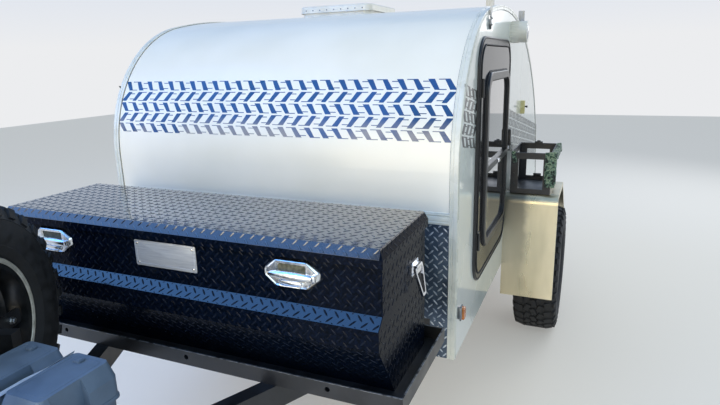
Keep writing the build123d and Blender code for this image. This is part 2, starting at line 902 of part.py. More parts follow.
# Door frame: a flange on the wall, a lining through it and two hinge barrels on its front edge
leaf_width = cut_width - 2 * lining_thick - 2 * door_gap
leaf_height = cut_height - 2 * lining_thick - 2 * door_gap
leaf_radius = cut_radius - lining_thick - door_gap
leaf_front = door_centre_y - leaf_width / 2
door_barrel = 5.5
hinge_tall = 70
hinge_z_offsets = (-300, 300)
hinge_x = half_body + leaf_proud + door_barrel + 0.3
hinge_y = leaf_front - door_gap / 2
with BuildPart() as door_frame:
    with BuildSketch(Plane.YZ.offset(half_body)):
        with Locations((door_centre_y, door_centre_z)):
            RectangleRounded(door_width, door_height, door_radius)
            RectangleRounded(
                cut_width - 2 * lining_thick,
                cut_height - 2 * lining_thick,
                cut_radius - lining_thick,
                mode=Mode.SUBTRACT,
            )
    extrude(amount=flange_thick)
    fillet(door_frame.faces().sort_by(Axis.X)[-1].outer_wire().edges(), radius=5)
    with BuildSketch(Plane.YZ.offset(inner_half)):
        with Locations((door_centre_y, door_centre_z)):
            RectangleRounded(cut_width, cut_height, cut_radius)
            RectangleRounded(
                cut_width - 2 * lining_thick,
                cut_height - 2 * lining_thick,
                cut_radius - lining_thick,
                mode=Mode.SUBTRACT,
            )
    extrude(amount=wall)
    with BuildSketch(Plane.XY.offset(door_centre_z)) as hinge_plan:
        with Locations((hinge_x, hinge_y)):
            Circle(door_barrel)
        with Locations(((half_body + flange_thick + hinge_x) / 2 - 1.9, hinge_y - 13)):
            Rectangle(hinge_x - half_body - flange_thick - 3.8, 23)
    for z in hinge_z_offsets:
        extrude(hinge_plan.sketch.moved(Location((0, 0, z - hinge_tall / 2))), amount=hinge_tall)

leaf_outer_x = half_body + leaf_proud
leaf_inner_x = leaf_outer_x - leaf_thick
window_y = door_centre_y + window_shift
window_z = door_centre_z - 5
window_cut = window_rim / 2
with BuildPart() as door:
    with BuildSketch(Plane.YZ.offset(leaf_inner_x)):
        with Locations((door_centre_y, door_centre_z)):
            RectangleRounded(leaf_width, leaf_height, leaf_radius)
        with Locations((window_y, window_z)):
            RectangleRounded(
                window_width - 2 * window_cut,
                window_height - 2 * window_cut,
                window_radius - window_cut,
                mode=Mode.SUBTRACT,
            )
    extrude(amount=leaf_thick)
    with BuildSketch(Plane.YZ.offset(leaf_outer_x)):
        for z in hinge_z_offsets:
            with Locations((hinge_y + door_barrel + 0.3 + 14, door_centre_z + z)):
                Rectangle(28, hinge_tall)
    extrude(amount=4)

with BuildPart() as door_window:
    with BuildSketch(Plane.YZ.offset(leaf_outer_x)):
        with Locations((window_y, window_z)):
            RectangleRounded(window_width, window_height, window_radius)
            RectangleRounded(
                window_width - 2 * window_rim,
                window_height - 2 * window_rim,
                window_radius - window_rim,
                mode=Mode.SUBTRACT,
            )
        with Locations((window_y, window_bar_z)):
            Rectangle(window_width - 2 * window_rim + 10, window_bar)
    extrude(amount=window_proud)
    fillet(door_window.faces().sort_by(Axis.X)[-1].outer_wire().edges(), radius=6)
    with BuildSketch(Plane.YZ.offset(leaf_inner_x)):
        with Locations((window_y, window_z)):
            RectangleRounded(
                window_width - 2 * window_cut, window_height - 2 * window_cut, window_radius - window_cut
            )
            RectangleRounded(
                window_width - 2 * window_cut - 8,
                window_height - 2 * window_cut - 8,
                window_radius - window_cut - 4,
                mode=Mode.SUBTRACT,
            )
    extrude(amount=leaf_thick)

with BuildPart() as door_glass:
    with BuildSketch(Plane.YZ.offset(leaf_outer_x)):
        with Locations((window_y, window_z)):
            RectangleRounded(
                window_width - 2 * window_cut - 8,
                window_height - 2 * window_cut - 8,
                window_radius - window_cut - 4,
            )
    extrude(amount=-glass_thick)

handle_y = (window_y + window_width / 2 + door_centre_y + leaf_width / 2) / 2
with BuildPart() as door_handle:
    with BuildSketch(Plane.YZ.offset(leaf_outer_x)):
        with Locations((handle_y, door_latch_z)):
            RectangleRounded(28, 118, 8)
    extrude(amount=8)
    with BuildSketch(Plane.YZ.offset(leaf_outer_x + 8)):
        with Locations((handle_y, door_latch_z + 6)):
            RectangleRounded(20, 78, 6)
    extrude(amount=14)
    fillet(door_handle.faces().sort_by(Axis.X)[-1].edges(), radius=4)

# Sided pieces: the left one as made, the right one mirrored
for name, left_piece in (
    ("fender", fender),
    ("wall", wall_panel),
    ("trim", trim),
    ("door_frame", door_frame),
    ("door", door),
    ("door_window", door_window),
    ("door_glass", door_glass),
    ("door_handle", door_handle),
):
    publish(left_piece, f"{name}_left")
    with BuildPart() as right_piece:
        mirror(left_piece.part, about=Plane.YZ)
    publish(right_piece, f"{name}_right")

# Roof vent: a level riser on a flange that follows the roof, and a lid hinged along its front
vent_plane = Plane.XY.move(Location((vent_x, vent_y, roof_z)))
riser_size = vent_size - 2 * (vent_clearance + vent_sheet)
riser_sink = 90
flange_reach = vent_size / 2 + vent_flange_out
with BuildPart() as vent_base:
    with BuildSketch(Plane.YZ.offset(vent_x - flange_reach)):
        offset(side_face.sketch, amount=vent_flange)
        side_region(vent_y - flange_reach, vent_y + flange_reach, roof_z - riser_sink, roof_z + 50)
    extrude(amount=2 * flange_reach)
    with BuildSketch(vent_plane.offset(-riser_sink)):
        RectangleRounded(riser_size, riser_size, 36)
    extrude(amount=vent_riser + riser_sink)
    with BuildSketch(vent_plane.offset(-riser_sink)):
        RectangleRounded(vent_hole, vent_hole, 26)
    extrude(amount=vent_riser + riser_sink, mode=Mode.SUBTRACT)
    with BuildSketch(Plane.YZ.offset(-half_body)):
        add(side_face.sketch)
    extrude(amount=2 * half_body, mode=Mode.SUBTRACT)
publish(vent_base, "vent_base")

lid_floor = vent_riser + 0.3
with BuildPart() as vent_lid:
    with BuildSketch(vent_plane.offset(lid_floor + vent_sheet - vent_lid_height)):
        RectangleRounded(vent_size, vent_size, 40)
    extrude(amount=vent_lid_height)
    fillet(vent_lid.faces().sort_by(Axis.Z)[-1].edges(), radius=10)
    with BuildSketch(vent_plane.offset(lid_floor + vent_sheet - vent_lid_height)):
        RectangleRounded(vent_size - 2 * vent_sheet, vent_size - 2 * vent_sheet, 37)
    extrude(amount=vent_lid_height - vent_sheet, mode=Mode.SUBTRACT)
publish(vent_lid, "vent_lid")

# Tray of angle iron under the tool box
tray_mid = (tray_front + tray_back) / 2
tray_depth = tray_back - tray_front
with BuildPart() as box_tray:
    with BuildSketch(Plane.XY.offset(frame_top)):
        with Locations((0, tray_mid)):
            Rectangle(2 * tray_half, tray_depth)
            Rectangle(2 * (tray_half - tray_ledge), tray_depth - 2 * tray_ledge, mode=Mode.SUBTRACT)
    extrude(amount=tray_sheet)
    with BuildSketch(Plane.XY.offset(frame_top)):
        with Locations((0, tray_mid)):
            Rectangle(2 * tray_half, tray_depth)
            Rectangle(2 * (tray_half - tray_sheet), tray_depth - 2 * tray_sheet, mode=Mode.SUBTRACT)
    extrude(amount=tray_angle)
    with BuildSketch(Plane.XZ.offset(-tray_front)):
        with Locations((-500, frame_top + 28), (30, frame_top + 28), (530, frame_top + 28)):
            Circle(8)
    extrude(amount=-tray_sheet, mode=Mode.SUBTRACT)
publish(box_tray, "box_tray")

# Tool box: a folded chest with a ledge and a sloping kick, open on top
box_floor = frame_top + tray_sheet
with BuildPart() as tool_box:
    with BuildSketch(Plane.YZ.offset(-box_half)):
        with BuildLine():
            Polyline(
                (box_back, box_floor),
                (box_back, box_top),
                (box_front, box_top),
                (box_front, ledge_high),
                (box_front - ledge_out, ledge_low),
                (box_front - ledge_out, kick_high),
                (box_front + kick_mid_in, kick_mid),
                (box_front + kick_low_in, box_floor),
                close=True,
            )
        make_face()
    extrude(amount=2 * box_half)
    offset(amount=-box_sheet, openings=tool_box.faces().sort_by(Axis.Z)[-1])
    rim_mid = (box_front + box_back) / 2
    rim_depth = box_back - box_front
    rim_return = 22
    with BuildSketch(Plane.XY.offset(box_top - box_sheet)):
        with Locations((0, rim_mid)):
            Rectangle(2 * box_half - 2, rim_depth - 2)
            Rectangle(2 * (box_half - rim_return), rim_depth - 2 * rim_return, mode=Mode.SUBTRACT)
    extrude(amount=box_sheet)
    with BuildSketch(Plane.XY.offset(box_top)):
        with Locations((0, rim_mid)):
            Rectangle(2 * (box_half - rim_return + 5), rim_depth - 2 * rim_return + 10)
            Rectangle(2 * (box_half - rim_return), rim_depth - 2 * rim_return, mode=Mode.SUBTRACT)
    extrude(amount=lid_top - lid_sheet - seal_gap - box_top)
publish(tool_box, "tool_box")

lid_mid = (lid_front + lid_back) / 2
lid_depth = lid_back - lid_front
with BuildPart() as tool_lid:
    with BuildSketch(Plane.XY.offset(lid_low)):
        with Locations((0, lid_mid)):
            Rectangle(2 * lid_half, lid_depth)
    extrude(amount=lid_top - lid_low)
    chamfer(
        tool_lid.faces().sort_by(Axis.Z)[-1].edges(),
        length=lid_bevel_run,
        length2=lid_bevel_drop,
        reference=tool_lid.faces().sort_by(Axis.Z)[-1],
    )
    offset(amount=-lid_sheet, openings=tool_lid.faces().sort_by(Axis.Z)[0])
publish(tool_lid, "tool_lid")

# Paddle latches: an eight-sided surround with a recess and a lever in it
with BuildSketch() as surround:
    with BuildLine():
        Polyline(
            (-handle_width / 2, -handle_height * 0.14),
            (-handle_width / 2, handle_height * 0.14),
            (-handle_width * 0.28, handle_height / 2),
            (handle_width * 0.28, handle_height / 2),
            (handle_width / 2, handle_height * 0.14),
            (handle_width / 2, -handle_height * 0.14),
            (handle_width * 0.28, -handle_height / 2),
            (-handle_width * 0.28, -handle_height / 2),
            close=True,
        )
    make_face()
with BuildPart() as paddle_latches:
    for x in handle_x:
        with BuildSketch(Plane.XZ.offset(-box_front)):
            with Locations((x, handle_z)):
                add(surround.sketch)
        extrude(amount=handle_thick)
        with BuildSketch(Plane.XZ.offset(-box_front + 4)):
            with Locations((x, handle_z + 8)):
                RectangleRounded(handle_width * 0.6, handle_height * 0.5, 10)
        extrude(amount=handle_thick, mode=Mode.SUBTRACT)
        with BuildSketch(Plane.XZ.offset(-box_front + 4)):
            with Locations((x, handle_z - 2)):
                RectangleRounded(handle_width * 0.6 - 4, handle_height * 0.2, 6)
        extrude(amount=handle_thick)
publish(paddle_latches, "paddle_latches")

# Lifting handles on the ends of the tool box: a folded plate with a wire loop that hangs outwards
ring_y = box_back - ring_from_back
ring_z = box_top - ring_from_top
ring_tilt = radians(12)
ring_plane = Plane(
    origin=(box_half + 9, ring_y, ring_z),
    x_dir=(0, 1, 0),
    z_dir=(cos(ring_tilt), 0, sin(ring_tilt)),
)
with BuildPart() as end_handles:
    with BuildSketch(Plane.YZ.offset(box_half)):
        with Locations((ring_y, ring_z)):
            RectangleRounded(64, 45, 6)
    extrude(amount=3)
    with BuildSketch(Plane.YZ.offset(box_half)):
        with Locations((ring_y, ring_z)):
            Rectangle(44, 26)
    extrude(amount=17)
    with BuildSketch(ring_plane):
        with BuildLine():
            Polyline((-34, 6), (-34, -12), (-14, -88), (14, -88), (34, -12), (34, 6), close=True)
        make_face()
        with BuildLine():
            Polyline((-26, -2), (-26, -12), (-9, -80), (9, -80), (26, -12), (26, -2), close=True)
        make_face(mode=Mode.SUBTRACT)
    extrude(amount=8)
    mirror(about=Plane.YZ)
publish(end_handles, "end_handles")

# Battery boxes on the tray plate of the tongue
battery_low = frame_top + battery_tray_sheet
with BuildPart() as battery_boxes:
    for x in battery_x:
        with BuildSketch(Plane.XY.offset(battery_low)):
            with Locations((x, battery_y)):
                RectangleRounded(battery_width - 10, battery_length - 10, 18)
        with BuildSketch(Plane.XY.offset(battery_low + battery_height)):
            with Locations((x, battery_y)):
                RectangleRounded(battery_width, battery_length, 18)
        loft()
publish(battery_boxes, "battery_boxes")

battery_top = battery_low + battery_height
skirt_top = battery_top + battery_skirt
crown_top = skirt_top + battery_crown
crown_width = battery_lid_width - 2 * battery_crown_in
with BuildPart() as battery_lids:
    for x in battery_x:
        with BuildSketch(Plane.XY.offset(battery_top)):
            with Locations((x, battery_y)):
                RectangleRounded(battery_lid_width, battery_lid_length, 20)
        extrude(amount=battery_skirt)
        with BuildSketch(Plane.XY.offset(skirt_top)):
            with Locations((x, battery_y)):
                RectangleRounded(battery_lid_width, battery_lid_length, 20)
        with BuildSketch(Plane.XY.offset(crown_top)):
            with Locations((x, battery_y + 3)):
                RectangleRounded(crown_width, battery_lid_length - battery_crown_in, 14)
        loft()
        with BuildSketch(Plane.XY.offset(battery_top + 14)):
            with Locations((x, battery_y + (battery_recess[0] + battery_recess[1]) / 2)):
                Rectangle(battery_lid_width + 10, battery_recess[1] - battery_recess[0])
                Rectangle(crown_width, battery_lid_length, mode=Mode.SUBTRACT)
        extrude(amount=battery_skirt + battery_crown, mode=Mode.SUBTRACT)
        with BuildSketch(Plane.XY.offset(crown_top)):
            with Locations((x - 11, battery_y + 68)):
                RectangleRounded(25, 20, 5)
        extrude(amount=6)
publish(battery_lids, "battery_lids")

# Lamps and small fittings on the shell
marker_y = y_front + marker_from_front
with BuildPart() as marker_lamps:
    for side in (-1, 1):
        with BuildSketch(Plane.YZ.offset(side * half_body)):
            with Locations((marker_y, marker_z)):
                RectangleRounded(30, 48, 8)
        extrude(amount=side * 16)
    fillet(marker_lamps.edges().group_by(Axis.X)[-1], radius=4)
    fillet(marker_lamps.edges().group_by(Axis.X)[0], radius=4)
publish(marker_lamps, "marker_lamps")

with BuildPart() as porch_light:
    with BuildSketch(Plane.YZ.offset(half_body)):
        with Locations((porch_y, porch_z)):
            Circle(48)
    extrude(amount=78)
    fillet(porch_light.faces().sort_by(Axis.X)[-1].edges(), radius=10)
publish(porch_light, "porch_light")

# Awning brackets: a pointed foot on the wall, an upright outside it and a web across the trim
with BuildPart() as awning_brackets:
    for y in awning_y:
        crest = roof_height(y)
        for foot_x, thick, high in ((half_body, 5, crest - 34), (half_body + 5, 4, crest + 70)):
            with BuildSketch(Plane.YZ.offset(foot_x)):
                with BuildLine():
                    Polyline(
                        (y - 13.5, high),
                        (y + 13.5, high),
                        (y + 13.5, crest - 52),
                        (y, crest - 72),
                        (y - 13.5, crest - 52),
                        close=True,
                    )
                make_face()
            extrude(amount=thick)
        with BuildSketch(Plane.XZ.offset(13.5 - y)):
            with Locations((half_body - 12, crest + 14)):
                Rectangle(31, 56, align=Align.MIN)
        extrude(amount=-4)
publish(awning_brackets, "awning_brackets")
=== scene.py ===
from math import atan2, cos, degrees, pi, radians, sin, sqrt

import bmesh
import bpy
from bpy.props import FloatProperty, FloatVectorProperty, IntProperty, PointerProperty
from mathutils import Matrix, Vector


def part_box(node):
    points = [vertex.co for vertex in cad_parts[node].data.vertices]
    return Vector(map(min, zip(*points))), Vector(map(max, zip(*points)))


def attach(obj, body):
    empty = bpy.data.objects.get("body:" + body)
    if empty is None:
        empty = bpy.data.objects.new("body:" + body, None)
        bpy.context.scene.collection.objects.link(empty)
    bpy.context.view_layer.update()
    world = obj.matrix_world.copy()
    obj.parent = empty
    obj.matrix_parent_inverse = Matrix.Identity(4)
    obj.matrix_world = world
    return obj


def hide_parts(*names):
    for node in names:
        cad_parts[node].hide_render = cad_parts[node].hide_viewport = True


bl_info = {
    "name": "Teardrop trailer",
    "version": (1, 0, 0),
    "blender": (4, 5, 0),
    "location": "View3D > Sidebar > Trailer",
    "description": "Finishes, fittings and stage for the teardrop camping trailer",
    "category": "Object",
}

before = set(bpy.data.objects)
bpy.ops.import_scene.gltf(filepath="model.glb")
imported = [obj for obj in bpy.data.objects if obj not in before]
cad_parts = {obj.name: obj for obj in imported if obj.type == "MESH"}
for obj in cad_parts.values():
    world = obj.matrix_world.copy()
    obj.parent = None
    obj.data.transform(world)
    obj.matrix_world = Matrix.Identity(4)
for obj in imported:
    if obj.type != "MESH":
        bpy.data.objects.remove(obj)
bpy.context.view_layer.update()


def low(node):
    """Lowest corner of a node of the frame"""
    return Vector(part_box(node)[0])


def high(node):
    """Highest corner of a node of the frame"""
    return Vector(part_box(node)[1])


def middle(node):
    """Centre of a node of the frame"""
    return (low(node) + high(node)) / 2


HALF_BODY = high("wall_left").x
FRONT_Y = low("wall_left").y
TAIL_Y = high("wall_left").y
BODY_BOTTOM = low("wall_left").z
BODY_HEIGHT = 1.286
ROOF_Z = BODY_BOTTOM + BODY_HEIGHT


# Settings that a user would change
class TrailerGraphics(bpy.types.PropertyGroup):
    band_low: FloatProperty(
        name="Band low", description="Lower edge of the tread band on the front", default=1.300, unit="LENGTH"
    )
    band_high: FloatProperty(
        name="Band high",
        description="Upper edge of the tread band on the front",
        default=1.512,
        unit="LENGTH",
    )
    columns: IntProperty(
        name="Blocks", description="Tread blocks in a row across the front", default=26, min=3
    )
    rows: IntProperty(name="Rows", description="Rows of tread blocks", default=5, min=1)
    side_slope: FloatProperty(
        name="Side slope",
        description="How far the side band falls towards the tail",
        default=radians(-9.5),
        subtype="ANGLE",
    )
    front_ink: FloatVectorProperty(
        name="Front ink",
        description="Colour of the front band",
        default=(0.006, 0.048, 0.150),
        size=3,
        subtype="COLOR",
    )


class TrailerTread(bpy.types.PropertyGroup):
    bar_length: FloatProperty(
        name="Bar length", description="Length of a raised bar of tread plate", default=0.027, unit="LENGTH"
    )
    bar_width: FloatProperty(
        name="Bar width", description="Width of a raised bar of tread plate", default=0.0054, unit="LENGTH"
    )
    bar_height: FloatProperty(
        name="Bar height", description="Rise of a bar over the plate", default=0.0013, unit="LENGTH"
    )
    pitch: FloatProperty(
        name="Pitch", description="Distance across between neighbouring bars", default=0.017, unit="LENGTH"
    )


class TrailerWheels(bpy.types.PropertyGroup):
    tread_depth: FloatProperty(
        name="Tread depth", description="Depth of the tyre's tread", default=0.011, unit="LENGTH"
    )
    blocks_round: IntProperty(name="Blocks round", description="Tread blocks round a tyre", default=34, min=8)
    spare_turn: FloatProperty(
        name="Spare turn",
        description="Turn of the spare wheel's axle from the X axis",
        default=radians(23),
        subtype="ANGLE",
    )


class TrailerStage(bpy.types.PropertyGroup):
    camera_place: FloatVectorProperty(
        name="Camera place",
        description="Where the camera stands",
        default=(1.1773, -2.3764, 1.5758),
        size=3,
        subtype="XYZ",
        unit="LENGTH",
    )
    yaw: FloatProperty(
        name="Yaw", description="Camera's turn to the left of +Y", default=radians(23.36), subtype="ANGLE"
    )
    pitch: FloatProperty(
        name="Pitch", description="Camera's tilt below the horizon", default=radians(14.4), subtype="ANGLE"
    )
    roll: FloatProperty(name="Roll", description="Camera's roll", default=radians(-1.39), subtype="ANGLE")
    lens: FloatProperty(name="Lens", description="Focal length in millimetres", default=27.65, min=1)


SETTINGS = {
    "trailer_graphics": TrailerGraphics,
    "trailer_tread": TrailerTread,
    "trailer_wheels": TrailerWheels,
    "trailer_stage": TrailerStage,
}


# Node and material helpers
def linear(code):
    """Linear RGBA of an sRGB hex colour"""
    channels = [int(code[i : i + 2], 16) / 255 for i in (1, 3, 5)]
    return (*[c / 12.92 if c <= 0.04045 else ((c + 0.055) / 1.055) ** 2.4 for c in channels], 1.0)


def per_mm(size):
    """Texture scale for a pattern of this size in millimetres"""
    return 1000 / size


def add_node(tree, kind, values=None, links=None, **settings):
    """Add a node, give it settings and socket values, and link sockets, or nodes' first outputs, into it"""
    made = tree.nodes.new(kind)
    for key, value in settings.items():
        setattr(made, key, value)
    for key, value in (values or {}).items():
        made.inputs[key].default_value = value
    for key, source in (links or {}).items():
        output = source.outputs[0] if isinstance(source, bpy.types.Node) else source
        tree.links.new(output, made.inputs[key])
    return made


def plain(name, colour, **sockets):
    """A material with constant sockets; a socket's name has _ for its spaces"""
    made = bpy.data.materials.new(name)
    made.use_nodes = True
    shader = made.node_tree.nodes["Principled BSDF"]
    shader.inputs["Base Color"].default_value = linear(colour)
    for key, value in sockets.items():
        shader.inputs[key.replace("_", " ")].default_value = value
    return made


def grained(made, colours, size, roughness, relief=0.0, stretch=(1, 1, 1), detail=4.0, contrast=(0.35, 0.65)):
    """Vary colour and roughness over a noise of this size, with a relief, both in millimetres"""
    tree = made.node_tree
    shader = tree.nodes["Principled BSDF"]
    place = add_node(tree, "ShaderNodeTexCoord").outputs["Object"]
    stretched = add_node(tree, "ShaderNodeMapping", {"Scale": stretch}, {"Vector": place})
    noise = add_node(
        tree,
        "ShaderNodeTexNoise",
        {"Scale": per_mm(size), "Detail": detail},
        {"Vector": stretched},
    )
    level = add_node(
        tree,
        "ShaderNodeMapRange",
        {"From Min": contrast[0], "From Max": contrast[1]},
        {"Value": noise},
    )
    blend = add_node(
        tree,
        "ShaderNodeMix",
        {6: linear(colours[0]), 7: linear(colours[1])},
        {0: level},
        data_type="RGBA",
    )
    tree.links.new(blend.outputs[2], shader.inputs["Base Color"])
    rough = add_node(
        tree,
        "ShaderNodeMapRange",
        {"To Min": roughness[0], "To Max": roughness[1]},
        {"Value": level},
    )
    tree.links.new(rough.outputs["Result"], shader.inputs["Roughness"])
    if relief:
        bump = add_node(
            tree,
            "ShaderNodeBump",
            {"Strength": 1.0, "Distance": relief / 1000},
            {"Height": noise},
        )
        tree.links.new(bump.outputs["Normal"], shader.inputs["Normal"])
    return made


# Finishes, each named for its real surface and, where light is painted in, for that too: its colour and
# sockets, then its grain's two colours, its size in millimetres, the span of roughness, and what else grained
# takes
SURFACES = {
    # Prefinished aluminium sheet in white enamel: glossy, very slightly wavy over the studs
    "enamelled_sheet": ("#F3F0E6", dict(Coat_Weight=0.5, Coat_Roughness=0.2),
        ("#EFEBDD", "#F7F3E7"), 340, (0.28, 0.38), dict(relief=0.9, detail=2)),
    # Cooler white enamel of the side walls, with the same clear gloss
    "enamelled_side": ("#EAF0EE", dict(Coat_Weight=0.6, Coat_Roughness=0.05),
        ("#E3EBE9", "#EFF3F0"), 420, (0.2, 0.3), dict(relief=0.1, detail=2)),
    # Corner extrusions in cream white enamel, a little duller than the sheet
    "enamelled_extrusion": ("#D2D3CC", dict(Coat_Weight=0.3, Coat_Roughness=0.12),
        ("#D6D8D0", "#E3E4DC"), 60, (0.24, 0.34), dict(relief=0.05)),
    # Tread plate of the stone guard: bare aluminium under a dark lacquer
    "guard_plate": ("#4A5868", dict(Metallic=0.45),
        ("#3A4757", "#586778"), 70, (0.34, 0.48), dict(relief=0.05)),
    # Bars of the stone guard, painted pale all over as a highlight
    "guard_bars_highlight": ("#B4BDC6", dict(Metallic=0.6), ("#97A2AE", "#CBD2D9"), 18, (0.25, 0.4), dict(relief=0.02)),
    # Polished chrome plate: a clean mirror with faint handling haze
    "chrome_plate": ("#E2E3E6", dict(Metallic=1.0), ("#D6D8DC", "#ECECEF"), 35, (0.04, 0.12), {}),
    # Bare zinc casting at the bottom of the latch dishes, dull, and darkened as painted shade of the dish
    "dish_shade_casting": ("#55564A", dict(Metallic=0.6),
        ("#45463B", "#6A6B5D"), 12, (0.35, 0.5), dict(relief=0.03)),
    # Chrome over a zinc casting: softer than sheet chrome, with a fine casting grain
    "cast_chrome": ("#DDDEDF", dict(Metallic=1.0),
        ("#D0D2D3", "#E8E8E7"), 14, (0.16, 0.26), dict(relief=0.03)),
    # Zinc plated steel: soft grey crystals
    "zinc_plate": ("#A9ACAD", dict(Metallic=1.0), ("#8E9294", "#BDBFBF"), 12, (0.3, 0.46), dict(relief=0.03)),
    # Black chassis enamel over welded steel: satin, dusty, with a fine peel
    "chassis_enamel": ("#121316", dict(Coat_Weight=0.25, Coat_Roughness=0.3),
        ("#0D0E10", "#24262A"), 90, (0.36, 0.55), dict(relief=0.12)),
    # Moulded black plastic of frames and handles: satin with a fine grain
    "moulded_black": ("#111214", dict(Coat_Weight=0.15, Coat_Roughness=0.25),
        ("#0D0E0F", "#191B1E"), 3, (0.28, 0.4), dict(relief=0.03)),
    # Black rubber of seals and beads
    "rubber_seal": ("#0C0C0D", {}, ("#0A0A0B", "#18181A"), 6, (0.5, 0.68), dict(relief=0.02)),
    # Gloss black skin of the door leaves, with a deep reflection
    "door_acrylic": ("#08090E", dict(Coat_Weight=0.2, Coat_Roughness=0.03, Specular_IOR_Level=0.15),
        ("#08090D", "#0F1015"), 240, (0.06, 0.12), dict(relief=0.15, detail=1)),
    # Dark tinted safety glass
    "tinted_glass": ("#2B2A2C", dict(Transmission_Weight=0.75, IOR=1.5, Coat_Weight=1.0),
        ("#242326", "#302E30"), 400, (0.015, 0.03), {}),
    # Tyre rubber: charcoal, dusty in the grooves
    "tyre_rubber": ("#18191B", {}, ("#131415", "#26272A"), 28, (0.62, 0.82), dict(relief=0.15)),
    # Polypropylene battery boxes, faded to slate blue by the sun, with a coarse moulded grain
    "battery_moulding": ("#5C7088", {}, ("#566A82", "#637892"), 70, (0.42, 0.56), dict(relief=0.1)),
    # Pale blue polyester strap over the battery boxes, ribbed along
    "strap_webbing": ("#A9C0DC", dict(Sheen_Weight=0.2),
        ("#93ABCB", "#C3D6EA"), 3, (0.5, 0.7), dict(relief=0.1, stretch=(1, 0.1, 1))),
    # Varnished birch plywood: long pale grain
    "birch_plywood": ("#B98F5C", dict(Coat_Weight=0.3, Coat_Roughness=0.2),
        ("#A67C4B", "#C9A374"), 16, (0.35, 0.5), dict(relief=0.05, stretch=(0.12, 1, 1), detail=6)),
    # Clear amber acrylic lens
    "amber_lens": ("#E07A12", dict(Transmission_Weight=0.25, Coat_Weight=0.8, IOR=1.49),
        ("#D26C0A", "#EE8E25"), 8, (0.1, 0.2), {}),
    # Clear red acrylic lens
    "red_lens": ("#8E0E0E", dict(Transmission_Weight=0.25, Coat_Weight=0.8, IOR=1.49),
        ("#7C0A0A", "#A51414"), 8, (0.1, 0.2), {}),
    # White ABS of the roof vent and the porch lamp, slightly yellowed
    "white_moulding": ("#E6E4DB", dict(Coat_Weight=0.2, Coat_Roughness=0.2),
        ("#DEDBD0", "#EBE9E1"), 70, (0.3, 0.42), dict(relief=0.05)),
    # Frosted grey lens of the porch lamp
    "frosted_lens": ("#A9B0B8", dict(Transmission_Weight=0.2, Coat_Weight=0.6),
        ("#98A0A9", "#B9C0C7"), 5, (0.2, 0.32), dict(relief=0.1)),
    # Cast iron of the hubs and drums, with a film of surface rust
    "cast_hub": ("#2A2725", dict(Metallic=0.6), ("#221F1D", "#4A3527"), 22, (0.55, 0.75), dict(relief=0.2)),
    # Black enamel of the steel wheels
    "wheel_enamel": ("#15171A", dict(Coat_Weight=0.4, Coat_Roughness=0.15),
        ("#101214", "#202327"), 40, (0.3, 0.44), dict(relief=0.08)),
    # Silver painted lip of the spare's rim, dulled to cream
    "silver_lip": ("#C9C8C0", dict(Metallic=0.35),
        ("#B7B6AD", "#D8D7D0"), 30, (0.32, 0.45), dict(relief=0.03)),
    # Cut vinyl of the side bands: gloss black film
    "side_vinyl": ("#15181D", dict(Coat_Weight=0.4, Coat_Roughness=0.1),
        ("#111317", "#23272E"), 150, (0.26, 0.36), dict(detail=2)),
    # Blank name plate in brushed aluminium
    "brushed_plate": ("#C3C8CE", dict(Metallic=0.35),
        ("#B7BCC4", "#CDD1D6"), 3, (0.3, 0.42), dict(relief=0.02, stretch=(0.05, 1, 1))),
    # Small cream enamelled plate
    "cream_plate": ("#D8CC8E", {}, ("#CBBE7C", "#E2D9A6"), 20, (0.4, 0.5), {}),
    # Brushed grey steel of brackets and bolts
    "brushed_steel": ("#7F8386", dict(Metallic=1.0),
        ("#6C7073", "#94989B"), 10, (0.3, 0.48), dict(relief=0.03, stretch=(1, 1, 0.2))),
}


def surface(name):
    """A finish from the table of surfaces"""
    colour, sockets, colours, size, roughness, options = SURFACES[name]
    return grained(plain(name, colour, **sockets), colours, size, roughness, **options)


def lacquer(made, coat, specular, bottom, top):
    """Give a black plate its lacquer, bright between two heights and dulled by road film elsewhere"""
    tree = made.node_tree
    shader = tree.nodes["Principled BSDF"]
    place = add_node(tree, "ShaderNodeTexCoord").outputs["Object"]
    split = add_node(tree, "ShaderNodeSeparateXYZ", links={"Vector": place})
    across = add_node(tree, "ShaderNodeMath", links={0: split.outputs["X"]}, operation="ABSOLUTE")
    inside = add_node(
        tree,
        "ShaderNodeMath",
        {1: high("tool_box").x - 0.002},
        {0: across},
        operation="LESS_THAN",
    )
    level = add_node(
        tree,
        "ShaderNodeMath",
        {1: (bottom + top) / 2, 2: (top - bottom) / 2},
        {0: split.outputs["Z"]},
        operation="COMPARE",
    )
    bright = add_node(tree, "ShaderNodeMath", links={0: inside, 1: level}, operation="MULTIPLY")
    for socket, weight in (("Coat Weight", coat), ("Specular IOR Level", specular)):
        film = add_node(
            tree,
            "ShaderNodeMapRange",
            {"To Min": weight * 0.07, "To Max": weight},
            {"Value": bright},
        )
        tree.links.new(film.outputs["Result"], shader.inputs[socket])
    return made


def black_box_plate():
    """Tread plate of the box in gloss black powder coat, with an orange-peel skin"""
    made = plain("black_box_plate", "#050A14", Coat_Roughness=0.06)
    grained(made, ("#040912", "#0A1324"), 9, (0.16, 0.26), relief=0.04)
    return lacquer(made, 0.7, 0.4, LEDGE_LOW, LEDGE_HIGH)


def black_lid_plate():
    """Tread plate of the lid: the same coat, waxed and more mirror-like"""
    made = plain("black_lid_plate", "#050A14", Coat_Roughness=0.05)
    grained(made, ("#040912", "#0A1324"), 9, (0.14, 0.22), relief=0.04)
    top = high("tool_lid").z
    return lacquer(made, 1.0, 0.4, top - LID_BEVEL_DROP - 0.001, top + 0.01)


def black_bars_highlight():
    """The raised bars of the black plate, painted a little brighter than the plate as a highlight"""
    made = plain("black_bars_highlight", "#0E131D", Coat_Roughness=0.08)
    grained(made, ("#0A0F19", "#18202F"), 24, (0.16, 0.28), relief=0.02)
    top = high("tool_lid").z
    return lacquer(made, 0.9, 0.8, top - LID_BEVEL_DROP - 0.001, top + 0.01)


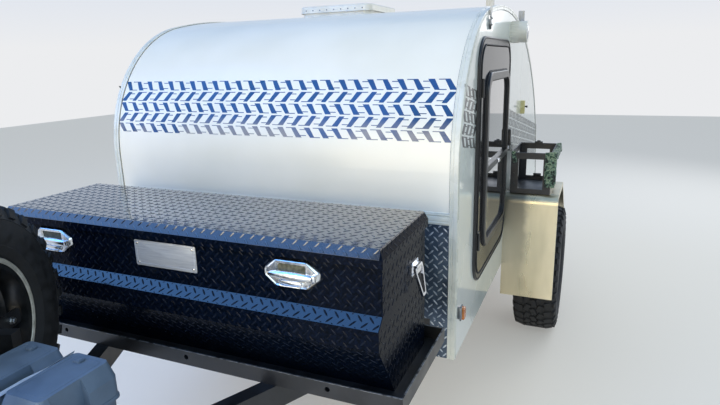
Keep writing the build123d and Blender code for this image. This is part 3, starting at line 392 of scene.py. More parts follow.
def mill_aluminium():
    """Mill-finish aluminium of the fenders: rolled vertical grain, cloudy stains, small dents and painted
    shade next to the body
    """
    made = plain("mill_aluminium", "#DED3B4", Metallic=0.75)
    grained(made, ("#CEC4A5", "#EEE3C6"), 160, (0.26, 0.42), stretch=(1, 1, 0.3), detail=3)
    tree = made.node_tree
    place = add_node(tree, "ShaderNodeTexCoord").outputs["Object"]
    rolled = add_node(tree, "ShaderNodeMapping", {"Scale": (1, 1, 0.02)}, {"Vector": place})
    grain = add_node(tree, "ShaderNodeTexNoise", {"Scale": per_mm(1.6), "Detail": 2}, {"Vector": rolled})
    dents = add_node(
        tree,
        "ShaderNodeTexVoronoi",
        {"Scale": per_mm(62), "Randomness": 1.0},
        {"Vector": place},
    )
    pressed = add_node(
        tree,
        "ShaderNodeMapRange",
        {"From Min": 0.0, "From Max": 0.16, "To Min": 0.0, "To Max": 1.0},
        {"Value": dents},
        interpolation_type="SMOOTHSTEP",
    )
    fine = add_node(tree, "ShaderNodeBump", {"Strength": 0.5, "Distance": 0.00004}, {"Height": grain})
    bump = add_node(
        tree,
        "ShaderNodeBump",
        {"Strength": 0.6, "Distance": 0.0007},
        {"Height": pressed, "Normal": fine},
    )
    shader = tree.nodes["Principled BSDF"]
    tree.links.new(bump.outputs["Normal"], shader.inputs["Normal"])
    # Painted shade: a grey-brown tone darkens the half next to the body, most towards the top
    split = add_node(tree, "ShaderNodeSeparateXYZ", links={"Vector": place})
    across = add_node(tree, "ShaderNodeMath", links={0: split.outputs["X"]}, operation="ABSOLUTE")
    ragged = add_node(tree, "ShaderNodeTexNoise", {"Scale": per_mm(90), "Detail": 3}, {"Vector": place})
    wander = add_node(tree, "ShaderNodeMath", {1: 0.05}, {0: ragged, 2: across}, operation="MULTIPLY_ADD")
    edge = HALF_BODY + 0.145
    inner = add_node(
        tree,
        "ShaderNodeMapRange",
        {"From Min": edge - 0.03, "From Max": edge + 0.015, "To Min": 0.95, "To Max": 0.0},
        {"Value": wander},
        interpolation_type="SMOOTHSTEP",
    )
    fender_low, fender_high = low("fender_left").z, high("fender_left").z
    fade = add_node(
        tree,
        "ShaderNodeMapRange",
        {"From Min": fender_low, "From Max": fender_high, "To Min": 0.25, "To Max": 1.0},
        {"Value": split.outputs["Z"]},
    )
    painted_shade = add_node(tree, "ShaderNodeMath", links={0: inner, 1: fade}, operation="MULTIPLY")
    clean = shader.inputs["Base Color"].links[0].from_socket
    # Painted shade: this grey stands in for the shade beside the body
    shaded_colour = add_node(tree, "ShaderNodeMix", {7: linear("#7E7B6E")}, {0: painted_shade, 6: clean}, data_type="RGBA")
    tree.links.new(shaded_colour.outputs[2], shader.inputs["Base Color"])
    return made


def tray_enamel():
    """Angle iron enamel, rubbed to bright steel along its top edge"""
    made = surface("chassis_enamel")
    made.name = "tray_enamel"
    tree = made.node_tree
    shader = tree.nodes["Principled BSDF"]
    painted = shader.inputs["Base Color"].links[0].from_socket
    place = add_node(tree, "ShaderNodeTexCoord").outputs["Object"]
    split = add_node(tree, "ShaderNodeSeparateXYZ", links={"Vector": place})
    chips = add_node(tree, "ShaderNodeTexNoise", {"Scale": per_mm(26), "Detail": 5}, {"Vector": place})
    top = high("box_tray").z
    edge = add_node(
        tree,
        "ShaderNodeMapRange",
        {"From Min": top - 0.0022, "From Max": top - 0.0004},
        {"Value": split.outputs["Z"]},
    )
    worn = add_node(tree, "ShaderNodeMapRange", {"From Min": 0.40, "From Max": 0.56}, {"Value": chips})
    mask = add_node(tree, "ShaderNodeMath", links={0: edge, 1: worn}, operation="MULTIPLY")
    bare = add_node(tree, "ShaderNodeMix", {7: linear("#9A9EA3")}, {0: mask, 6: painted}, data_type="RGBA")
    tree.links.new(bare.outputs[2], shader.inputs["Base Color"])
    tree.links.new(mask.outputs["Value"], shader.inputs["Metallic"])
    return made


def camouflage_webbing():
    """Woven strap in green and tan camouflage blotches"""
    made = plain("camouflage_webbing", "#4E7360", Sheen_Weight=0.3)
    tree = made.node_tree
    shader = tree.nodes["Principled BSDF"]
    place = add_node(tree, "ShaderNodeTexCoord").outputs["Object"]
    blotches = add_node(tree, "ShaderNodeTexNoise", {"Scale": per_mm(22), "Detail": 2}, {"Vector": place})
    colours = add_node(tree, "ShaderNodeValToRGB", links={"Fac": blotches})
    ramp = colours.color_ramp
    ramp.interpolation = "CONSTANT"
    ramp.elements[0].color = linear("#28332E")
    ramp.elements[1].position = 0.44
    ramp.elements[1].color = linear("#678374")
    ramp.elements.new(0.52).color = linear("#98AC92")
    ramp.elements.new(0.60).color = linear("#3C5A48")
    tree.links.new(colours.outputs["Color"], shader.inputs["Base Color"])
    weave = add_node(tree, "ShaderNodeTexChecker", {"Scale": per_mm(1.8)}, {"Vector": place})
    bump = add_node(
        tree, "ShaderNodeBump", {"Strength": 0.7, "Distance": 0.0004}, {"Height": weave.outputs[1]}
    )
    tree.links.new(bump.outputs["Normal"], shader.inputs["Normal"])
    shader.inputs["Roughness"].default_value = 0.85
    return made


def front_vinyl():
    """Cut vinyl of the front band: gloss blue film, paler where it has weathered"""
    made = plain("front_vinyl", "#1F3F77", Coat_Weight=0.2, Coat_Roughness=0.2)
    grained(made, ("#0D2F5E", "#1A4B86"), 210, (0.24, 0.36), detail=2)
    tree = made.node_tree
    shader = tree.nodes["Principled BSDF"]
    blend = shader.inputs["Base Color"].links[0].from_node
    blend.inputs[6].default_value = (*bpy.context.scene.trailer_graphics.front_ink, 1.0)
    place = add_node(tree, "ShaderNodeTexCoord").outputs["Object"]
    split = add_node(tree, "ShaderNodeSeparateXYZ", links={"Vector": place})
    patches = add_node(tree, "ShaderNodeTexNoise", {"Scale": per_mm(160), "Detail": 1}, {"Vector": place})
    depth = add_node(
        tree,
        "ShaderNodeMapRange",
        {"From Min": 1.375, "From Max": 1.325},
        {"Value": split.outputs["Z"]},
    )
    patch = add_node(tree, "ShaderNodeMapRange", {"From Min": 0.38, "From Max": 0.56}, {"Value": patches})
    mask = add_node(tree, "ShaderNodeMath", links={0: depth, 1: patch}, operation="MULTIPLY")
    worn = add_node(
        tree,
        "ShaderNodeMix",
        {7: linear("#8C8A8D")},
        {0: mask, 6: blend.outputs[2]},
        data_type="RGBA",
    )
    tree.links.new(worn.outputs[2], shader.inputs["Base Color"])
    return made


LAYERED = {
    maker.__name__: maker
    for maker in (
        black_box_plate,
        black_lid_plate,
        black_bars_highlight,
        mill_aluminium,
        tray_enamel,
        camouflage_webbing,
        front_vinyl,
    )
}
FINISHES = {}


def finish(name):
    """The finish of this name, made once"""
    if name not in FINISHES:
        FINISHES[name] = LAYERED[name]() if name in LAYERED else surface(name)
    return FINISHES[name]


# Which finish each node of the frame gets
NODE_FINISHES = (
    ("enamelled_sheet", ("roof_shell", "front_panel", "hatch")),
    ("enamelled_side", ("wall_left", "wall_right")),
    ("enamelled_extrusion", ("trim_left", "trim_right", "front_strip", "hatch_hinge", "rear_sill")),
    ("black_box_plate", ("tool_box",)),
    ("black_lid_plate", ("tool_lid",)),
    ("guard_plate", ("stone_guard",)),
    ("mill_aluminium", ("fender_left", "fender_right")),
    ("chrome_plate", ("paddle_latches", "hatch_handle", "end_handles")),
    ("zinc_plate", ("jack_tube", "jack_leg")),
    ("chassis_enamel", ("axle", "can_rack", "chassis_frame", "tongue_frame", "coupler", "spare_carrier")),
    ("tray_enamel", ("box_tray",)),
    (
        "moulded_black",
        (
            "door_frame_left",
            "door_frame_right",
            "door_window_left",
            "door_window_right",
            "door_handle_left",
            "door_handle_right",
        ),
    ),
    ("door_acrylic", ("door_left", "door_right")),
    ("tinted_glass", ("door_glass_left", "door_glass_right")),
    ("tyre_rubber", ("tyre_left", "tyre_right", "tyre_spare")),
    ("wheel_enamel", ("rim_left", "rim_right", "rim_spare")),
    ("cast_hub", ("hub_left", "hub_right")),
    ("battery_moulding", ("battery_boxes", "battery_lids")),
    ("camouflage_webbing", ("rack_strap",)),
    ("birch_plywood", ("bulkhead", "floor", "galley")),
    ("amber_lens", ("marker_lamps",)),
    ("red_lens", ("tail_lamps",)),
    ("white_moulding", ("porch_light", "vent_base", "vent_lid")),
    ("brushed_steel", ("awning_brackets",)),
)


# Mesh helpers
def placing(origin, x_dir, y_dir):
    """The matrix of a local frame with these X and Y directions at origin"""
    x_axis = Vector(x_dir).normalized()
    y_axis = Vector(y_dir).normalized()
    z_axis = x_axis.cross(y_axis)
    turn = Matrix((x_axis, y_axis, z_axis)).transposed().to_4x4()
    return Matrix.Translation(origin) @ turn


def on_side(x, y, z):
    """A place on the left side, with its local Z pointing out"""
    return placing((x, y, z), (0, 1, 0), (0, 0, 1))


def on_front(x, y, z):
    """A place on a face towards the front, with its local Z pointing out"""
    return placing((x, y, z), (1, 0, 0), (0, 0, 1))


MIRROR = Matrix.Scale(-1, 4, (1, 0, 0))
SIDES = (("left", Matrix()), ("right", MIRROR))


def join_into(whole, part, at=Matrix()):
    """Move the shape part to this place, or point, and add it to whole; a mirrored place turns its faces"""
    if isinstance(at, tuple):
        at = Matrix.Translation(at)
    bmesh.ops.transform(part, matrix=at, verts=part.verts)
    if at.determinant() < 0:
        bmesh.ops.reverse_faces(part, faces=part.faces)
    scratch = bpy.data.meshes.new("scratch")
    part.to_mesh(scratch)
    part.free()
    whole.from_mesh(scratch)
    bpy.data.meshes.remove(scratch)


def new_piece(name, shape, finish_name, body="root", replaces=(), crease=35):
    """Make an object of a finished shape, with sharp edges over crease degrees, and tie it to its body"""
    for face in shape.faces:
        face.smooth = True
    for edge in shape.edges:
        edge.smooth = len(edge.link_faces) == 2 and edge.calc_face_angle(0) < radians(crease)
    mesh = bpy.data.meshes.new(name)
    shape.to_mesh(mesh)
    shape.free()
    mesh.materials.append(finish(finish_name))
    piece = bpy.data.objects.new(name, mesh)
    bpy.context.scene.collection.objects.link(piece)
    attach(piece, body)
    if replaces:
        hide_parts(*replaces)
    return piece


# Edges that bend by more than this, in radians, count as sharp
SHARP = 0.5


def bevel(part, geom, offset, segments, affect="EDGES"):
    """Round these edges or corners"""
    bmesh.ops.bevel(
        part, geom=geom, offset=offset, segments=segments, profile=0.5, affect=affect, material=-1
    )


def inset(part, faces, thickness, depth=0.0):
    """Inset a region of faces evenly, also along its open boundary"""
    bmesh.ops.inset_region(
        part, faces=faces, thickness=thickness, depth=depth, use_boundary=True, use_even_offset=True
    )


def outline_face(width, height, radius, segments=6):
    """A flat face with round corners in the XY plane"""
    part = bmesh.new()
    verts = bmesh.ops.create_grid(part, x_segments=1, y_segments=1, size=0.5)["verts"]
    bmesh.ops.scale(part, verts=verts, vec=(width, height, 1))
    if radius:
        bevel(part, verts, radius, segments, "VERTICES")
    return part


def raise_faces(part, depth, edge=0.0, segments=2):
    """Turn flat faces into a solid that rises by depth along Z, with its top edges rounded"""
    grown = bmesh.ops.extrude_face_region(part, geom=part.faces[:])["geom"]
    moved = [item for item in grown if isinstance(item, bmesh.types.BMVert)]
    bmesh.ops.translate(part, verts=moved, vec=(0, 0, depth))
    bmesh.ops.recalc_face_normals(part, faces=part.faces)
    if edge:
        top = max(vert.co.z for vert in part.verts) - 1e-6
        rim = [
            item
            for item in part.edges
            if all(vert.co.z > top for vert in item.verts) and item.calc_face_angle(0) > SHARP
        ]
        bevel(part, rim, edge, segments)
    return part


def plate(width, height, radius, depth, edge=0.0):
    """A plate with round corners in the XY plane, rising along Z"""
    return raise_faces(outline_face(width, height, radius), depth, edge)


def ring(width, height, radius, band, depth, edge=0.0):
    """A frame of this outer size and round corners, band wide, rising along Z"""
    part = outline_face(width, height, radius, segments=8)
    centre = part.faces[:]
    inset(part, centre, band)
    bmesh.ops.delete(part, geom=centre, context="FACES_ONLY")
    return raise_faces(part, depth, edge)


def turned(profile, steps=32):
    """A shape turned about Z from (radius, height) points"""
    part = bmesh.new()
    verts = [part.verts.new((radius, 0, height)) for radius, height in profile]
    edges = [part.edges.new(pair) for pair in zip(verts, verts[1:])]
    bmesh.ops.spin(
        part,
        geom=verts + edges,
        cent=(0, 0, 0),
        axis=(0, 0, 1),
        angle=2 * pi,
        steps=steps,
        use_merge=True,
    )
    bmesh.ops.remove_doubles(part, verts=part.verts, dist=1e-6)
    bmesh.ops.recalc_face_normals(part, faces=part.faces)
    return part


def bolt(size, height):
    """A hexagon bolt head on its washer, standing along Z"""
    part = turned(((0, 0), (size * 1.15, 0), (size * 1.15, height * 0.22), (0, height * 0.22)), steps=20)
    head = bmesh.new()
    bmesh.ops.create_cone(
        head, cap_ends=True, segments=6, radius1=size * 0.86, radius2=size * 0.86, depth=height * 0.78
    )
    rim = [edge for edge in head.edges if all(vert.co.z > 0 for vert in edge.verts)]
    bevel(head, rim, size * 0.12, 1)
    join_into(part, head, (0, 0, height * 0.61))
    return part


def screw(radius, height):
    """A domed screw head, standing along Z"""
    dome = ((0, height), (radius * 0.5, height * 0.94), (radius * 0.85, height * 0.6), (radius, 0))
    return turned(dome, 16)


def box_shape(size):
    """A box of this size about the origin"""
    part = bmesh.new()
    verts = bmesh.ops.create_cube(part, size=1.0)["verts"]
    bmesh.ops.scale(part, verts=verts, vec=size)
    return part


def rounded_box(size, offset, segments=2):
    """A box of this size with its edges rounded"""
    part = box_shape(size)
    bevel(part, [edge for edge in part.edges if edge.calc_face_angle(0) > SHARP], offset, segments)
    return part


# Side outline of the body, from the same sizes as the shell
FLAT_FRONT = 0.690
BROW_DEPTH, BROW_DROP = 0.449, 0.048
CROWN_DEPTH, CROWN_DROP = 1.138, 0.016
SHOULDER_FROM_TAIL, SHOULDER_HEIGHT = 0.472, 0.851
OUTLINE_POINTS = (
    (FRONT_Y, BODY_BOTTOM + FLAT_FRONT),
    (FRONT_Y + BROW_DEPTH, ROOF_Z - BROW_DROP),
    (FRONT_Y + CROWN_DEPTH, ROOF_Z - CROWN_DROP),
    (TAIL_Y - SHOULDER_FROM_TAIL, BODY_BOTTOM + SHOULDER_HEIGHT),
    (TAIL_Y, BODY_BOTTOM),
)


def outline_arcs():
    """The outline's tangent arcs: start, end, centre, radius and angle turned"""
    arcs = []
    heading = pi / 2
    for start, end in zip(OUTLINE_POINTS, OUTLINE_POINTS[1:]):
        run, rise = end[0] - start[0], end[1] - start[1]
        radius = (run * run + rise * rise) / (2 * (run * sin(heading) - rise * cos(heading)))
        centre = (start[0] + sin(heading) * radius, start[1] - cos(heading) * radius)
        next_heading = 2 * atan2(rise, run) - heading
        arcs.append((start, end, centre, radius, heading - next_heading))
        heading = next_heading
    return arcs


ARCS = outline_arcs()


def wrap_point(height_z, out):
    """The point (y, z) of the front at this height, moved out of the skin"""
    start, _, centre, radius, _ = ARCS[0]
    if height_z <= start[1]:
        return FRONT_Y - out, height_z
    rise = height_z - centre[1]
    reach = sqrt(radius * radius - rise * rise)
    return centre[0] - reach * (radius + out) / radius, centre[1] + rise * (radius + out) / radius


def roof_height(y):
    """Height of the outline at y"""
    for start, end, centre, radius, _ in ARCS:
        if start[0] <= y <= end[0]:
            return centre[1] + sqrt(radius * radius - (y - centre[0]) ** 2)
    return BODY_BOTTOM


def swept_outline(profile, steps=22):
    """Sweep a closed profile of (x, distance out of the outline) points round the body's side outline"""
    part = bmesh.new()
    verts = [part.verts.new((x, FRONT_Y - out, BODY_BOTTOM)) for x, out in profile]
    part.faces.new(verts)
    face = part.faces[:]
    grown = bmesh.ops.extrude_face_region(part, geom=face)["geom"]
    moved = [item for item in grown if isinstance(item, bmesh.types.BMVert)]
    bmesh.ops.translate(part, verts=moved, vec=(0, 0, FLAT_FRONT))
    last = [item for item in grown if isinstance(item, bmesh.types.BMFace)]
    for _, _, centre, _, turn in ARCS:
        spun = bmesh.ops.spin(
            part,
            geom=last,
            cent=(0, centre[0], centre[1]),
            axis=(-1, 0, 0),
            angle=turn,
            steps=steps,
        )
        last = [item for item in spun["geom_last"] if isinstance(item, bmesh.types.BMFace)]
    bmesh.ops.recalc_face_normals(part, faces=part.faces)
    return part


# Tread plate, which stays bare this far from the edges of a face
BARE_EDGE = 0.002


def repeat(part, count, x_step, y_step):
    """Copy the whole shape until there are count of it, each a further step away"""
    pattern = part.verts[:] + part.edges[:] + part.faces[:]
    for number in range(1, count):
        copied = bmesh.ops.duplicate(part, geom=pattern)["geom"]
        verts = [item for item in copied if isinstance(item, bmesh.types.BMVert)]
        bmesh.ops.translate(part, verts=verts, vec=(x_step * number, y_step * number, 0))


def tread_bars(settings, width, height, trims=()):
    """Bars over a width by height face, in offset rows that lean to and fro, cut by (point, normal) trims"""
    part = bmesh.new()
    length, breadth, rise = settings.bar_length / 2, settings.bar_width / 2, settings.bar_height
    step = settings.pitch
    columns = int(width / step) + 1
    rows = int(height / step) + 1
    base = [(-1, 0), (-0.5, -1), (0.5, -1), (1, 0), (0.5, 1), (-0.5, 1)]
    for turn_sign in (1, -1):
        foot = [part.verts.new((x * length, y * breadth, 0)) for x, y in base]
        crest = [part.verts.new((x * length, 0, rise)) for x in (-0.55, 0.55)]
        for loop in (
            (foot[0], foot[1], crest[0]),
            (foot[1], foot[2], crest[1], crest[0]),
            (foot[2], foot[3], crest[1]),
            (foot[3], foot[4], crest[1]),
            (foot[4], foot[5], crest[0], crest[1]),
            (foot[5], foot[0], crest[0]),
        ):
            part.faces.new(loop)
        bar = foot + crest
        bmesh.ops.rotate(part, verts=bar, cent=(0, 0, 0), matrix=Matrix.Rotation(-turn_sign * pi / 4, 3, "Z"))
        bmesh.ops.translate(part, verts=bar, vec=(step * (turn_sign < 0), step * (turn_sign < 0), 0))
    pairs_across, pairs_up = (columns + 1) // 2, (rows + 1) // 2
    repeat(part, pairs_across, 2 * step, 0)
    repeat(part, pairs_up, 0, 2 * step)
    span = Vector(((2 * pairs_across - 1) * step, (2 * pairs_up - 1) * step, 0))
    margin = Vector(((width - span.x) / 2, (height - span.y) / 2, 0))
    bmesh.ops.translate(part, verts=part.verts, vec=margin)
    limits = [((width - BARE_EDGE, 0, 0), (1, 0, 0)), ((BARE_EDGE, 0, 0), (-1, 0, 0))]
    limits += [((0, height - BARE_EDGE, 0), (0, 1, 0)), ((0, BARE_EDGE, 0), (0, -1, 0))]
    for point, normal in limits + list(trims):
        bmesh.ops.bisect_plane(
            part,
            geom=part.verts[:] + part.edges[:] + part.faces[:],
            plane_co=point,
            plane_no=normal,
            clear_outer=True,
        )
    return part


def lay_bars(whole, settings, width, height, origin, x_dir, y_dir, trims=()):
    """Raised bars over a width by height face whose corner is at origin"""
    join_into(whole, tread_bars(settings, width, height, trims), placing(origin, x_dir, y_dir))


def tread_strip(whole, settings, start, end, half_width):
    """Bars over the sloping strip between two (y, z) points, across X"""
    run = Vector((0, end[0] - start[0], end[1] - start[1]))
    origin = Vector((-half_width, start[0], start[1]))
    lay_bars(whole, settings, 2 * half_width, run.length, origin, (1, 0, 0), run)


class TRAILER_OT_tread_plate(bpy.types.Operator):
    """Raise the bars of the tread plate on the tool box, its lid and the stone guard"""

    bl_idname = "trailer.tread_plate"
    bl_label = "Tread plate"

    def execute(self, context):
        settings = context.scene.trailer_tread
        box_low, box_high = low("tool_box"), high("tool_box")
        front_y = box_low.y + LEDGE_OUT
        whole = bmesh.new()
        # Folds of the front from the lid down: upper face, ledge, lower face and kick
        folds = (
            (front_y - SKIN, low("tool_lid").z - 0.002),
            (front_y - SKIN, LEDGE_HIGH),
            (box_low.y - SKIN, LEDGE_LOW),
            (box_low.y - SKIN, KICK_HIGH),
            (front_y + KICK_MID_IN - SKIN, KICK_MID),
        )
        for upper_fold, lower_fold in zip(folds, folds[1:]):
            tread_strip(whole, settings, lower_fold, upper_fold, box_high.x - 0.002)
        for side in (1, -1):
            x = side * (box_high.x + SKIN)
            depth = box_high.y - front_y
            upper = low("tool_lid").z - LEDGE_HIGH
            start = front_y if side > 0 else box_high.y
            lay_bars(whole, settings, depth, upper, (x, start, LEDGE_HIGH), (0, side, 0), (0, 0, 1))
            full = box_high.y - box_low.y
            tall = LEDGE_LOW - box_low.z
            start = box_low.y if side > 0 else box_high.y
            corner = KICK_HIGH - box_low.z
            foot = front_y + KICK_MID_IN - box_low.y
            edge = Vector((foot, KICK_MID - KICK_HIGH, 0))
            normal = Vector((edge.y, -edge.x, 0))
            point = Vector((0, corner, 0))
            if side < 0:
                normal.x = -normal.x
                point.x = full
            trims = [(point, normal)]
            lay_bars(whole, settings, full, tall, (x, start, box_low.z), (0, side, 0), (0, 0, 1), trims)
        # Painted highlight: the bars are coloured a little brighter than the plate
        new_piece("tool_box_tread", whole, "black_bars_highlight", "root", crease=80)

        lid_low, lid_high = low("tool_lid"), high("tool_lid")
        whole = bmesh.new()
        top_z = lid_high.z + SKIN
        flat_half = lid_high.x - LID_BEVEL_RUN
        flat_depth = lid_high.y - lid_low.y - 2 * LID_BEVEL_RUN
        flat_wide, fold_y, fold_z = 2 * flat_half, lid_low.y - SKIN, lid_high.z - LID_BEVEL_DROP
        across, upward = (1, 0, 0), (0, 0, 1)
        corner = (-flat_half, lid_low.y + LID_BEVEL_RUN, top_z)
        lay_bars(whole, settings, flat_wide, flat_depth, corner, across, (0, 1, 0))
        slope = Vector((0, LID_BEVEL_RUN, LID_BEVEL_DROP))
        lip = fold_z - lid_low.z
        lay_bars(whole, settings, flat_wide, slope.length, (-flat_half, fold_y, fold_z), across, slope)
        corner = (-lid_high.x, fold_y, lid_low.z)
        lay_bars(whole, settings, 2 * lid_high.x, lip, corner, across, upward)
        for side in (1, -1):
            start = lid_low.y + LID_BEVEL_RUN if side > 0 else lid_high.y - LID_BEVEL_RUN
            slope = Vector((-side * LID_BEVEL_RUN, 0, LID_BEVEL_DROP))
            x = side * (lid_high.x + SKIN)
            lay_bars(whole, settings, flat_depth, slope.length, (x, start, fold_z), (0, side, 0), slope)
            lay_bars(whole, settings, flat_depth, lip, (x, start, lid_low.z), (0, side, 0), upward)
        new_piece("tool_lid_tread", whole, "black_bars_highlight", "tool_lid", crease=80)

        guard_low, guard_high = low("stone_guard"), high("stone_guard")
        notch = high("tongue_frame").x + 0.03
        notch_top = high("floor").z - 0.02
        whole = bmesh.new()
        for left, right, bottom, top in (
            (guard_low.x, guard_high.x, notch_top, guard_high.z),
            (guard_low.x, -notch, guard_low.z, notch_top),
            (notch, guard_high.x, guard_low.z, notch_top),
        ):
            corner = (left, guard_low.y - SKIN, bottom)
            lay_bars(whole, settings, right - left, top - bottom, corner, across, upward)
        # Painted highlight: the stone guard's bars are coloured pale
        new_piece("stone_guard_tread", whole, "guard_bars_highlight", "root", crease=80)
        return {"FINISHED"}


# Raised pieces start this far off the plate
SKIN = 0.0002
# Folds of the tool box and its lid
LEDGE_HIGH, LEDGE_LOW, LEDGE_OUT = 0.922, 0.893, 0.032
KICK_HIGH, KICK_MID, KICK_MID_IN = 0.834, 0.700, 0.056
LID_BEVEL_DROP, LID_BEVEL_RUN = 0.026, 0.012


# Cut vinyl bands in the pattern of a tyre's tread
VINYL = 0.0005
SIDE_WEIGHT = 1.3
# How far a short line reaches off its block and under it, as shares of the pitch
LINE_OUT, LINE_IN = 0.40, 0.03


def tread_row(columns, pitch, height, direction, weight):
    """One row of slanting blocks with thin lines between them, flat, from x = 0, base at y = 0"""
    part = bmesh.new()
    line = height * 0.075 * weight
    lean = pitch * 0.47 * direction

    def patch(points):
        part.faces.new([part.verts.new((x, y, 0)) for x, y in points])

    def short_line(start, end, level):
        patch(((start, level), (end, level), (end, level + line), (start, level + line)))

    for column in range(columns):
        centre = (column + 0.5) * pitch
        foot, head = centre - lean / 2, centre + lean / 2
        # Blocks are wide at the top and narrow at the foot by turns
        odd = (column + (direction > 0)) % 2
        top_half = pitch * weight * (0.17 if odd else 0.21)
        low_half = pitch * weight * (0.21 if odd else 0.16)
        patch(
            ((foot - low_half, 0), (foot + low_half, 0), (head + top_half, height), (head - top_half, height))
        )
        step_in = 0.17 * height
        # The short lines stand in from the top of one kind of block and from the foot of the other
        in_at_top = odd == (direction > 0)
        upper = height - line - step_in * in_at_top
        lower = step_in * (not in_at_top)
        slope = (head - foot) / height
        if direction < 0:
            left_end, left_level = head - top_half + (upper - height) * slope, upper
            right_end, right_level = foot + low_half + lower * slope, lower
        else:
            left_end, left_level = foot - low_half + lower * slope, lower
            right_end, right_level = head + top_half + (upper - height) * slope, upper
        if column:
            short_line(left_end - pitch * LINE_OUT, left_end + pitch * LINE_IN, left_level)
        if column < columns - 1:
            short_line(right_end - pitch * LINE_IN, right_end + pitch * LINE_OUT, right_level)
    return part


def tread_band(columns, pitch, rows, row_pitch, weight=1.0):
    """Rows of slanting blocks that lean to and fro, flat, from x = 0, with their base at y = 0"""
    whole = bmesh.new()
    for row in range(rows):
        direction = 1 if row % 2 else -1
        part = tread_row(columns, pitch, row_pitch * 0.85, direction, weight)
        join_into(whole, part, (0, row_pitch * (row + 0.075), 0))
    return whole


class TRAILER_OT_tread_bands(bpy.types.Operator):
    """Lay the cut vinyl bands over the front and along both sides"""

    bl_idname = "trailer.tread_bands"
    bl_label = "Tread bands"

    def execute(self, context):
        settings = context.scene.trailer_graphics
        half_band = HALF_BODY - 0.022
        pitch = 2 * half_band / settings.columns
        row_pitch = (settings.band_high - settings.band_low) / settings.rows
        band = tread_band(settings.columns, pitch, settings.rows, row_pitch)
        upright = [
            edge for edge in band.edges if abs(edge.verts[0].co.y - edge.verts[1].co.y) > row_pitch / 2
        ]
        bmesh.ops.subdivide_edges(
            band,
            edges=upright,
            cuts=3,
            use_grid_fill=True,
        )
        raise_faces(band, VINYL)
        for vert in band.verts:
            y, z = wrap_point(settings.band_low + vert.co.y, vert.co.z)
            vert.co = (vert.co.x - half_band, y, z)
        new_piece("front_band", band, "front_vinyl", "root")

        # Each side band runs in two lengths, before and behind the door, and falls towards the tail
        door_low, door_high = low("door_frame_left").y, high("door_frame_left").y
        lengths = ((FRONT_Y + 0.031, door_low - 0.006), (door_high + 0.006, TAIL_Y - 0.17))
        for side_name, turn in SIDES:
            whole = bmesh.new()
            for start, end in lengths:
                total = (end - start) / cos(settings.side_slope)
                columns = round(total / 0.056)
                rise = (start - FRONT_Y) * sin(settings.side_slope) / cos(settings.side_slope)
                band = raise_faces(
                    tread_band(columns, total / columns, settings.rows, row_pitch * 1.02, SIDE_WEIGHT), VINYL
                )
                along = (0, cos(settings.side_slope), sin(settings.side_slope))
                up = (0, -sin(settings.side_slope), cos(settings.side_slope))
                at = placing((HALF_BODY + 0.0001, start, settings.band_low - 0.012 + rise), along, up)
                join_into(whole, band, turn @ at)
            new_piece(f"side_band_{side_name}", whole, "side_vinyl", "root")
        return {"FINISHED"}


class TRAILER_OT_edge_trim(bpy.types.Operator):
    """Sweep the corner extrusions with their beads, and add the screw cover of the front strip"""

    bl_idname = "trailer.edge_trim"
    bl_label = "Edge trim"

    def execute(self, context):
        for side_name, turn in SIDES:
            whole = bmesh.new()
            join_into(whole, swept_outline([(HALF_BODY + x, out) for x, out in TRIM_SECTION]), turn)
            new_piece(
                f"trim_section_{side_name}",
                whole,
                "enamelled_extrusion",
                "root",
                [f"trim_{side_name}"],
                crease=25,
            )
            seal = bmesh.new()
            for section in TRIM_SEALS:
                join_into(seal, swept_outline([(HALF_BODY + x, out) for x, out in section]), turn)
            new_piece(f"trim_seal_{side_name}", seal, "rubber_seal", "root")
        strip_low, strip_high = low("front_strip"), high("front_strip")
        whole = bmesh.new()
        for z in (strip_low.z + 0.008, strip_high.z - 0.008):
            bead = rounded_box((strip_high.x - strip_low.x, 0.003, 0.004), 0.001)
            join_into(whole, bead, (0, strip_low.y - 0.001, z))
        cover = rounded_box((strip_high.x - strip_low.x, 0.003, 0.016), 0.0012)
        join_into(whole, cover, (0, strip_low.y - 0.0006, (strip_low.z + strip_high.z) / 2))
        new_piece("front_strip_cover", whole, "enamelled_extrusion", "root")
        return {"FINISHED"}


# Section of the corner extrusion: (distance out of the side wall, distance out of the outline)
TRIM_SECTION = (
    (-0.0270, 0.0000),
    (-0.0270, 0.0035),
    (-0.0262, 0.0046),
    (-0.0235, 0.0046),
    (-0.0228, 0.0036),
    (-0.0170, 0.0036),
    (-0.0163, 0.0020),
    (-0.0135, 0.0020),
    (-0.0128, 0.0038),
    (-0.0040, 0.0040),
    (0.0010, 0.0034),
    (0.0024, 0.0016),
    (0.0024, -0.0010),
    (0.0020, -0.0030),
    (0.0006, -0.0038),
    (0.0006, -0.0058),
    (0.0020, -0.0066),
    (0.0020, -0.0120),
    (0.0028, -0.0130),
    (0.0028, -0.0150),
    (0.0014, -0.0160),
    (0.0000, -0.0160),
    (0.0000, 0.0000),
)
TRIM_SEALS = (
    ((0.0001, -0.0160), (0.0009, -0.0160), (0.0007, -0.0176), (0.0001, -0.0176)),
    ((-0.0270, 0.0001), (-0.0270, 0.0010), (-0.0285, 0.0008), (-0.0285, 0.0001)),
)


# Tyres: (radius, distance from the middle) of one side, from the bead to the crown
TYRE_SIDE = (
    (0.1905, 0.0780),
    (0.1920, 0.0885),
    (0.2060, 0.0895),
    (0.2085, 0.0950),
    (0.2120, 0.0965),
    (0.2165, 0.0945),
    (0.2200, 0.0990),
    (0.2400, 0.1085),
    (0.2420, 0.1100),
    (0.2440, 0.1095),
    (0.2650, 0.1150),
    (0.2900, 0.1170),
    (0.3130, 0.1140),
    (0.3150, 0.1150),
    (0.3170, 0.1130),
    (0.3380, 0.1030),
    (0.3480, 0.0930),
    (0.3530, 0.0760),
    (0.3550, 0.0400),
)

